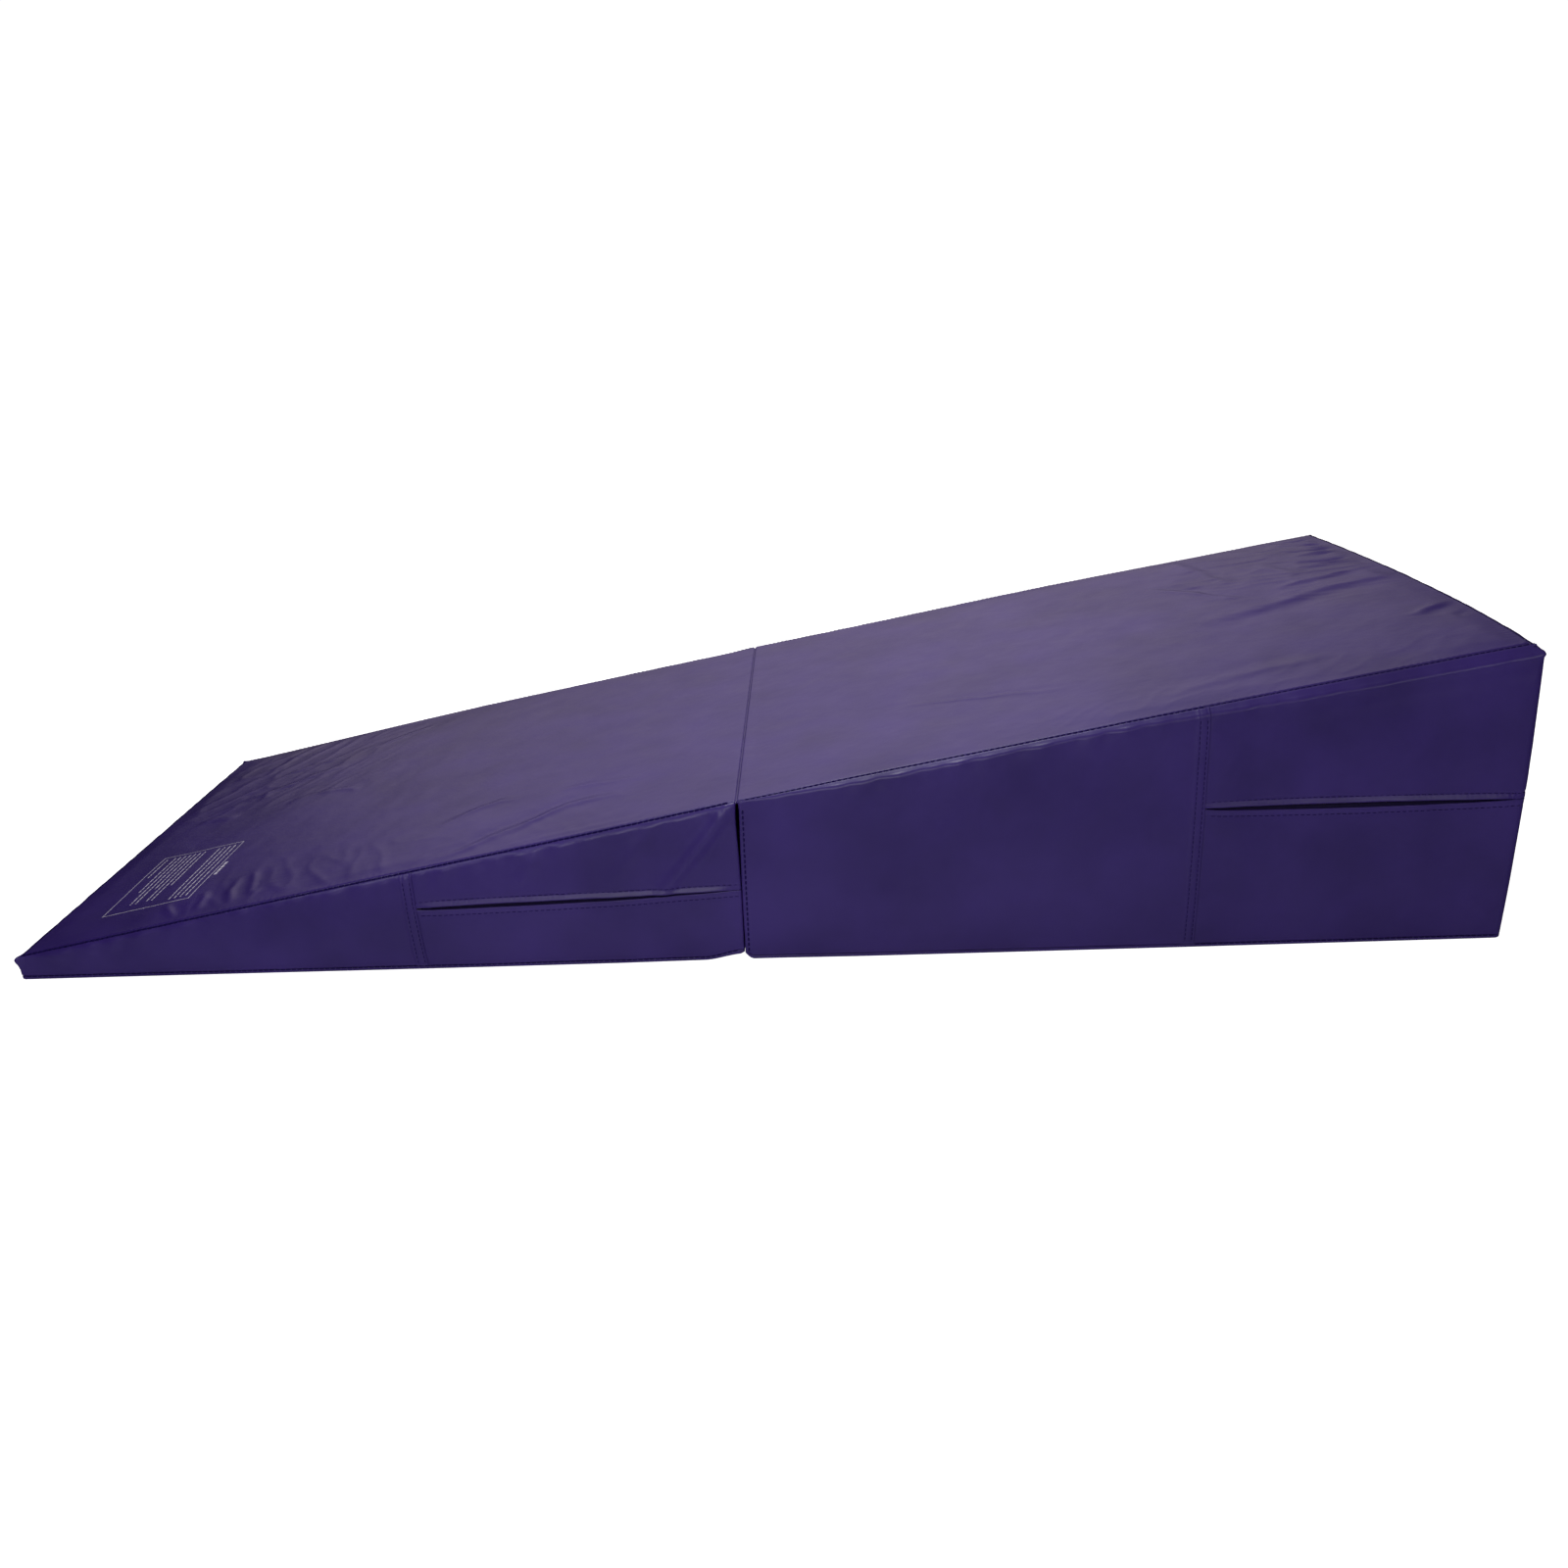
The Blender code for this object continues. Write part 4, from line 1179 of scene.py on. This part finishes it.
def make_hinge(low, high, vinyl):
    """The reinforcing strip under both top panels, which bends round the fold line."""
    strip_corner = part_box("hinge_strip")[1]
    half = strip_corner.y - 0.0005
    depth, thickness = 0.0016, 0.0008
    reach = strip_corner.x - low.fold_x
    places = np.concatenate([
        np.linspace(-reach, -0.008, 10), np.linspace(-0.007, 0.007, 29), np.linspace(0.008, reach, 10)])
    across = np.linspace(-half, half, 80)
    vertices, faces = [], []
    for level, under in enumerate((depth, depth + thickness)):
        for place in places:
            x = low.fold_x + place
            top = low.top(x) if place < 0 else high.top(x)
            for y in across:
                vertices.append((x, y, top - under))
        start = level * len(places) * len(across)
        faces += grid_faces(len(places), len(across), start, flipped=level == 0)
    per_row, total = len(across), len(places) * len(across)
    for row in range(len(places) - 1):
        for column in (0, per_row - 1):
            i, j = row * per_row + column, (row + 1) * per_row + column
            face = (i, j, total + j, total + i)
            faces.append(face if column == 0 else face[::-1])
    for column in range(per_row - 1):
        for row in (0, len(places) - 1):
            i = row * per_row + column
            face = (i, i + 1, total + i + 1, total + i)
            faces.append(face[::-1] if row == 0 else face)
    item = as_object("fold_hinge", np.array(vertices), faces, vinyl)
    item.data.set_sharp_from_angle(angle=SHARP_ANGLE)
    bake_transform(item)
    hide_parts("hinge_strip")
    slope = math.hypot(reach, low.top(low.fold_x) - low.top(low.fold_x - reach))
    return item


# ---- the printed panel -----------------------------------------------------------------------------

def print_patch(section, x_from, x_to, y_from, y_to):
    """A thin patch of ink that follows the top panel."""
    xs = np.linspace(x_from, x_to, max(2, int(abs(x_to - x_from) / 0.0025) + 2))
    ys = np.linspace(y_from, y_to, max(2, int(abs(y_to - y_from) / 0.0025) + 2))
    x, y = np.meshgrid(xs, ys)
    points = top_points(section, x, y, np.full_like(x, 0.2))
    points[..., 2] += 0.00022
    return points.reshape(-1, 3), grid_faces(len(ys), len(xs))


def make_print(section, ink):
    """A frame with rows of short bars inside it, and four bars in line beside it."""
    (x_from, x_to), (y_from, y_to), line = PRINT_X, PRINT_Y, PRINT_LINE
    meshes = [
        print_patch(section, x_from, x_from + line, y_from, y_to),
        print_patch(section, x_to - line, x_to, y_from, y_to),
        print_patch(section, x_from, x_to, y_from, y_from + line),
        print_patch(section, x_from, x_to, y_to - line, y_to),
    ]
    random = np.random.default_rng(7)
    rows = []
    for first, spacing, lengths in PRINT_BLOCKS:
        rows += [(first - spacing * i, length) for i, length in enumerate(lengths)]
    for x, length in rows:
        y = y_to - 0.009
        stop = y - length
        while y > stop:
            word = random.uniform(*WORD_LENGTHS)
            meshes.append(print_patch(section, x - BAR_WIDTH, x, max(y - word, stop), y))
            y -= word + WORD_GAP
    for k in range(4):
        y = -0.178 - 0.0105 * k
        meshes.append(print_patch(section, -0.6965, -0.6925, y - 0.0088, y))
    item = joined("nose_print", meshes, ink)
    finish_piece(item, section, "vinyl", 0)
    flatten_when_folded(item, section)


# ---- materials -------------------------------------------------------------------------------------

def fill_ramp(node, stops):
    """Gives a colour ramp its stops, each (position, colour)."""
    elements = node.color_ramp.elements
    while len(elements) < len(stops):
        elements.new(0.5)
    for element, (position, colour) in zip(elements, stops):
        element.position = position
        element.color = (*colour, 1.0)


class Nodes:
    """A material's node tree, with short calls for the nodes that the surfaces share."""

    def __init__(self, name):
        self.material = bpy.data.materials.new(name)
        self.material.use_nodes = True
        self.tree = self.material.node_tree
        self.shader = self.tree.nodes["Principled BSDF"]
        self.place = self.tree.nodes.new("ShaderNodeAttribute")
        self.place.attribute_name = "rest"

    def link(self, output, target):
        self.tree.links.new(output, target)
        return target

    def stretch(self, scale):
        mapping = self.tree.nodes.new("ShaderNodeMapping")
        mapping.inputs["Scale"].default_value = scale
        self.link(self.place.outputs["Vector"], mapping.inputs["Vector"])
        return mapping.outputs["Vector"]

    def noise(self, scale, detail=2.0, roughness=0.5, where=None):
        node = self.tree.nodes.new("ShaderNodeTexNoise")
        node.inputs["Scale"].default_value = scale
        node.inputs["Detail"].default_value = detail
        node.inputs["Roughness"].default_value = roughness
        self.link(where or self.place.outputs["Vector"], node.inputs["Vector"])
        return node.outputs["Fac"]

    def cells(self, scale, where=None):
        node = self.tree.nodes.new("ShaderNodeTexVoronoi")
        node.inputs["Scale"].default_value = scale
        node.feature = "SMOOTH_F1"
        self.link(where or self.place.outputs["Vector"], node.inputs["Vector"])
        return node.outputs["Distance"]

    def ramp(self, factor, stops):
        node = self.tree.nodes.new("ShaderNodeValToRGB")
        fill_ramp(node, stops)
        self.link(factor, node.inputs["Fac"])
        return node.outputs["Color"]

    def spread(self, factor, low, high):
        node = self.tree.nodes.new("ShaderNodeMapRange")
        node.inputs["To Min"].default_value = low
        node.inputs["To Max"].default_value = high
        self.link(factor, node.inputs["Value"])
        return node.outputs["Result"]

    def bump(self, layers):
        """Stacked bumps, each (height output, distance in metres)."""
        normal = None
        for height, distance in layers:
            node = self.tree.nodes.new("ShaderNodeBump")
            node.inputs["Distance"].default_value = distance
            node.inputs["Strength"].default_value = 1.0
            self.link(height, node.inputs["Height"])
            if normal:
                self.link(normal, node.inputs["Normal"])
            normal = node.outputs["Normal"]
        self.link(normal, self.shader.inputs["Normal"])

    def colour(self, output):
        self.link(output, self.shader.inputs["Base Color"])

    def roughness(self, output):
        self.link(output, self.shader.inputs["Roughness"])


def vinyl_material(name, shade=1.0):
    """Satin coated vinyl: a fine pressed grain, faint scuffs and a slightly uneven sheen."""
    nodes = Nodes(name)
    dark = tuple(shade * value for value in (0.0210, 0.0096, 0.1020))
    light = tuple(shade * value for value in (0.0294, 0.0138, 0.1344))
    nodes.colour(nodes.ramp(nodes.noise(9.0, 4.0), [(0.32, dark), (0.68, light)]))
    nodes.roughness(nodes.spread(nodes.noise(23.0, 5.0, 0.6), 0.33, 0.43))
    nodes.shader.inputs["Specular IOR Level"].default_value = 0.38
    nodes.shader.inputs["IOR"].default_value = 1.50
    nodes.bump([
        (nodes.noise(38.0, 3.0), 0.0006),
        (nodes.cells(1500.0), 0.000018),
        (nodes.noise(420.0, 2.0), 0.00002),
    ])
    return nodes.material


# Dark thread without sheen. Its colour is partly the thread's own and partly painted shade: half-lit vinyl,
# for the shadow line in the top seam's groove.
def thread_and_seam_shade_material():
    nodes = Nodes("thread_and_seam_shade")
    twist = nodes.noise(2600.0, 1.0)
    nodes.colour(nodes.ramp(twist, [(0.3, (0.0050, 0.0022, 0.0360)), (0.7, (0.0090, 0.0040, 0.0600))]))
    nodes.shader.inputs["Roughness"].default_value = 0.9
    nodes.shader.inputs["Specular IOR Level"].default_value = 0.05
    nodes.bump([(twist, 0.00008)])
    return nodes.material


def tape_material():
    nodes = Nodes("tape_weave")
    weave = nodes.cells(1400.0, nodes.stretch((1.0, 1.0, 0.6)))
    nodes.colour(nodes.ramp(weave, [(0.1, (0.009, 0.004, 0.045)), (0.8, (0.017, 0.008, 0.080))]))
    nodes.shader.inputs["Roughness"].default_value = 0.85
    nodes.bump([(weave, 0.00012)])
    return nodes.material


def foam_material():
    nodes = Nodes("foam_cells")
    pores = nodes.cells(900.0)
    nodes.colour(nodes.ramp(pores, [(0.1, (0.62, 0.60, 0.54)), (0.7, (0.82, 0.81, 0.76))]))
    nodes.shader.inputs["Roughness"].default_value = 0.95
    nodes.bump([(pores, 0.0004)])
    return nodes.material


def metal_material(name, colour, roughness):
    """Plated metal with fine brushing. CAD pieces have no rest attribute, so it uses their own space."""
    nodes = Nodes(name)
    own = nodes.tree.nodes.new("ShaderNodeTexCoord")
    mapping = nodes.tree.nodes.new("ShaderNodeMapping")
    mapping.inputs["Scale"].default_value = (1.0, 12.0, 12.0)
    nodes.link(own.outputs["Object"], mapping.inputs["Vector"])
    brushing = nodes.noise(900.0, 3.0, where=mapping.outputs["Vector"])
    darker = tuple(0.72 * value for value in colour)
    nodes.colour(nodes.ramp(brushing, [(0.3, darker), (0.7, colour)]))
    nodes.roughness(nodes.spread(brushing, roughness - 0.06, roughness + 0.10))
    nodes.shader.inputs["Metallic"].default_value = 1.0
    nodes.bump([(brushing, 0.00003)])
    nodes.tree.nodes.remove(nodes.place)
    return nodes.material


def ink_material():
    nodes = Nodes("print_ink")
    worn = nodes.noise(700.0, 3.0)
    nodes.colour(nodes.ramp(worn, [(0.35, (0.38, 0.36, 0.47)), (0.65, (0.56, 0.54, 0.64))]))
    nodes.shader.inputs["Roughness"].default_value = 0.55
    nodes.bump([(worn, 0.00003)])
    return nodes.material


def floor_material():
    nodes = Nodes("studio_floor")
    nodes.shader.inputs["Base Color"].default_value = (0.92, 0.92, 0.92, 1.0)
    nodes.shader.inputs["Roughness"].default_value = 1.0
    nodes.shader.inputs["Specular IOR Level"].default_value = 0.0
    nodes.shader.inputs["Emission Color"].default_value = (1.0, 1.0, 1.0, 1.0)
    path = nodes.tree.nodes.new("ShaderNodeLightPath")
    glow = nodes.spread(path.outputs["Is Camera Ray"], FLOOR_GLOW, 1.0)
    nodes.link(glow, nodes.shader.inputs["Emission Strength"])
    nodes.material.cycles.emission_sampling = "NONE"
    nodes.tree.nodes.remove(nodes.place)
    return nodes.material


def paint_hardware():
    """Better materials for the CAD pieces that stay."""
    plated = metal_material("plated_zinc", (0.52, 0.51, 0.50), 0.30)
    clip = metal_material("aluminium_clip", (0.60, 0.60, 0.61), 0.36)
    for name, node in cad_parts.items():
        if name.endswith(("_slider", "_pull")):
            node.data.materials[0] = plated
        elif name.endswith("_stop"):
            node.data.materials[0] = clip


# ---- stage -----------------------------------------------------------------------------------------

# Each light's name, power in watts, size, place, and the point it faces.
LIGHTS = [
    ("overhead", 14.4, (0.8, 0.6), (0.02, 0.05, 1.36), (0.02, 0.05, 0.0)),
    ("left", 1.5, (0.5, 0.14), (-0.86, -0.79, 0.86), (-0.30, -0.355, 0.15)),
    ("right", 1.2, (0.30, 0.20), (1.20, -1.32, 0.74), (0.75, -0.355, 0.25)),
    ("key", 3.3, (0.9, 0.4), (-0.10, -1.30, 0.62), (-0.10, -0.35, 0.10)),
]

# The camera that was fitted to the photo: its place, its turns in degrees, and its lens.
CAMERA_PLACE = (0.0863, -1.7916, 0.7571)
CAMERA_YAW = 1.450
CAMERA_PITCH = 90 - 20.380
CAMERA_TILT = -2.326
CAMERA_LENS = 30.72

# How bright the surroundings are by the direction's x, and by its z.
SOFTBOX_ACROSS = [
    (-0.60, 0.0), (-0.52, 0.0), (-0.45, 0.74), (-0.39, 1.02), (-0.30, 0.92), (-0.19, 0.98), (0.03, 1.13),
    (0.22, 0.84), (0.34, 0.52), (0.46, 0.10),
]
SOFTBOX_UP = [
    (-0.62, 0.22), (-0.50, 0.07), (-0.42, 0.0), (0.10, 0.0),
    (0.21, 1.0), (0.36, 1.0), (0.60, 0.40), (1.0, 0.30),
]


def make_floor():
    """A wide floor under the mat, out of sight of glossy rays."""
    size = 300.0
    corners = [(-size, -size, 0), (size, -size, 0), (size, size, 0), (-size, size, 0)]
    floor = as_object("studio_floor", corners, [(0, 1, 2, 3)], floor_material())
    floor.location.z = -0.0006
    floor.visible_glossy = False


def add_light(name, power, size, place, target):
    """An area light that the camera doesn't see."""
    data = bpy.data.lights.new(name, "AREA")
    data.shape = "RECTANGLE"
    data.size, data.size_y = size
    data.energy = power
    light = bpy.data.objects.new(name, data)
    bpy.context.scene.collection.objects.link(light)
    light.location = place
    light.visible_camera = False
    light.rotation_euler = (Vector(target) - Vector(place)).to_track_quat("-Z", "Y").to_euler()


def multiply_node(tree, first):
    """A node that multiplies a colour by its input B."""
    node = tree.nodes.new("ShaderNodeMix")
    node.data_type = "RGBA"
    node.blend_type = "MULTIPLY"
    node.inputs["Factor"].default_value = 1.0
    tree.links.new(first, node.inputs["A"])
    return node


def make_world():
    """White where the camera sees it. The mat reflects a softbox wall, dimmer to the sides and overhead."""
    world = bpy.data.worlds.new("studio")
    bpy.context.scene.world = world
    world.use_nodes = True
    tree = world.node_tree
    backdrop = tree.nodes["Background"]
    backdrop.inputs["Color"].default_value = (1.0, 1.0, 1.0, 1.0)
    backdrop.inputs["Strength"].default_value = 1.05
    softbox = tree.nodes.new("ShaderNodeBackground")
    softbox.inputs["Strength"].default_value = 0.92
    coordinates = tree.nodes.new("ShaderNodeTexCoord")
    split = tree.nodes.new("ShaderNodeSeparateXYZ")
    tree.links.new(coordinates.outputs["Generated"], split.inputs["Vector"])
    levels = []
    for axis, stops in (("X", SOFTBOX_ACROSS), ("Z", SOFTBOX_UP)):
        shift = tree.nodes.new("ShaderNodeMapRange")
        shift.inputs["From Min"].default_value = -1.0
        ramp = tree.nodes.new("ShaderNodeValToRGB")
        fill_ramp(ramp, [((place + 1.0) / 2.0, (value, value, value)) for place, value in stops])
        tree.links.new(split.outputs[axis], shift.inputs["Value"])
        tree.links.new(shift.outputs["Result"], ramp.inputs["Fac"])
        levels.append(ramp.outputs["Color"])
    product = multiply_node(tree, levels[0])
    tree.links.new(levels[1], product.inputs["B"])
    warm = multiply_node(tree, product.outputs["Result"])
    warm.inputs["B"].default_value = (1.0, 0.87, 0.90, 1.0)
    tree.links.new(warm.outputs["Result"], softbox.inputs["Color"])
    path = tree.nodes.new("ShaderNodeLightPath")
    choice = tree.nodes.new("ShaderNodeMixShader")
    tree.links.new(path.outputs["Is Camera Ray"], choice.inputs["Fac"])
    tree.links.new(softbox.outputs["Background"], choice.inputs[1])
    tree.links.new(backdrop.outputs["Background"], choice.inputs[2])
    tree.links.new(choice.outputs["Shader"], tree.nodes["World Output"].inputs["Surface"])


def make_camera():
    """The camera of the photo."""
    data = bpy.data.cameras.new("camera")
    data.lens = CAMERA_LENS
    data.sensor_width = 36.0
    camera = bpy.data.objects.new("camera", data)
    bpy.context.scene.collection.objects.link(camera)
    yaw = Matrix.Rotation(math.radians(CAMERA_YAW), 4, "Z")
    pitch = Matrix.Rotation(math.radians(CAMERA_PITCH), 4, "X")
    tilt = Matrix.Rotation(math.radians(CAMERA_TILT), 4, "Z")
    camera.matrix_world = Matrix.Translation(CAMERA_PLACE) @ yaw @ pitch @ tilt
    bpy.context.scene.camera = camera


def make_stage():
    make_floor()
    make_world()
    make_camera()
    for light in LIGHTS:
        add_light(*light)
    bpy.context.scene.view_settings.view_transform = "Standard"


def make_section(section, thin_end_node, vinyl, thread_and_seam_shade, tape, foam):
    make_side_panel(section, False, vinyl)
    make_side_panel(section, True, vinyl)
    make_thin_end(section, thin_end_node, vinyl)
    make_zip_bands(section, vinyl)
    make_top_panel(section, vinyl)
    make_bottom_panel(section, vinyl)
    make_foam(section, foam)
    make_stitches(section, thread_and_seam_shade)
    make_zip_tape(section, True, tape)
    make_zip_tape(section, False, tape)


def main():
    vinyl = vinyl_material("vinyl_cover")
    thread_and_seam_shade, tape, foam = thread_and_seam_shade_material(), tape_material(), foam_material()
    low = Section("low", NOSE_CORNER, LOW_THICK_CORNER)
    high = Section("high", FACE_CORNER, HIGH_THICK_CORNER)
    make_section(low, "low_nose_strip", vinyl, thread_and_seam_shade, tape, foam)
    make_section(high, "high_fold_face_panel", vinyl, thread_and_seam_shade, tape, foam)
    make_hinge(low, high, vinyl_material("hinge_vinyl", 0.8))
    make_print(low, ink_material())
    paint_hardware()
    make_stage()


main()
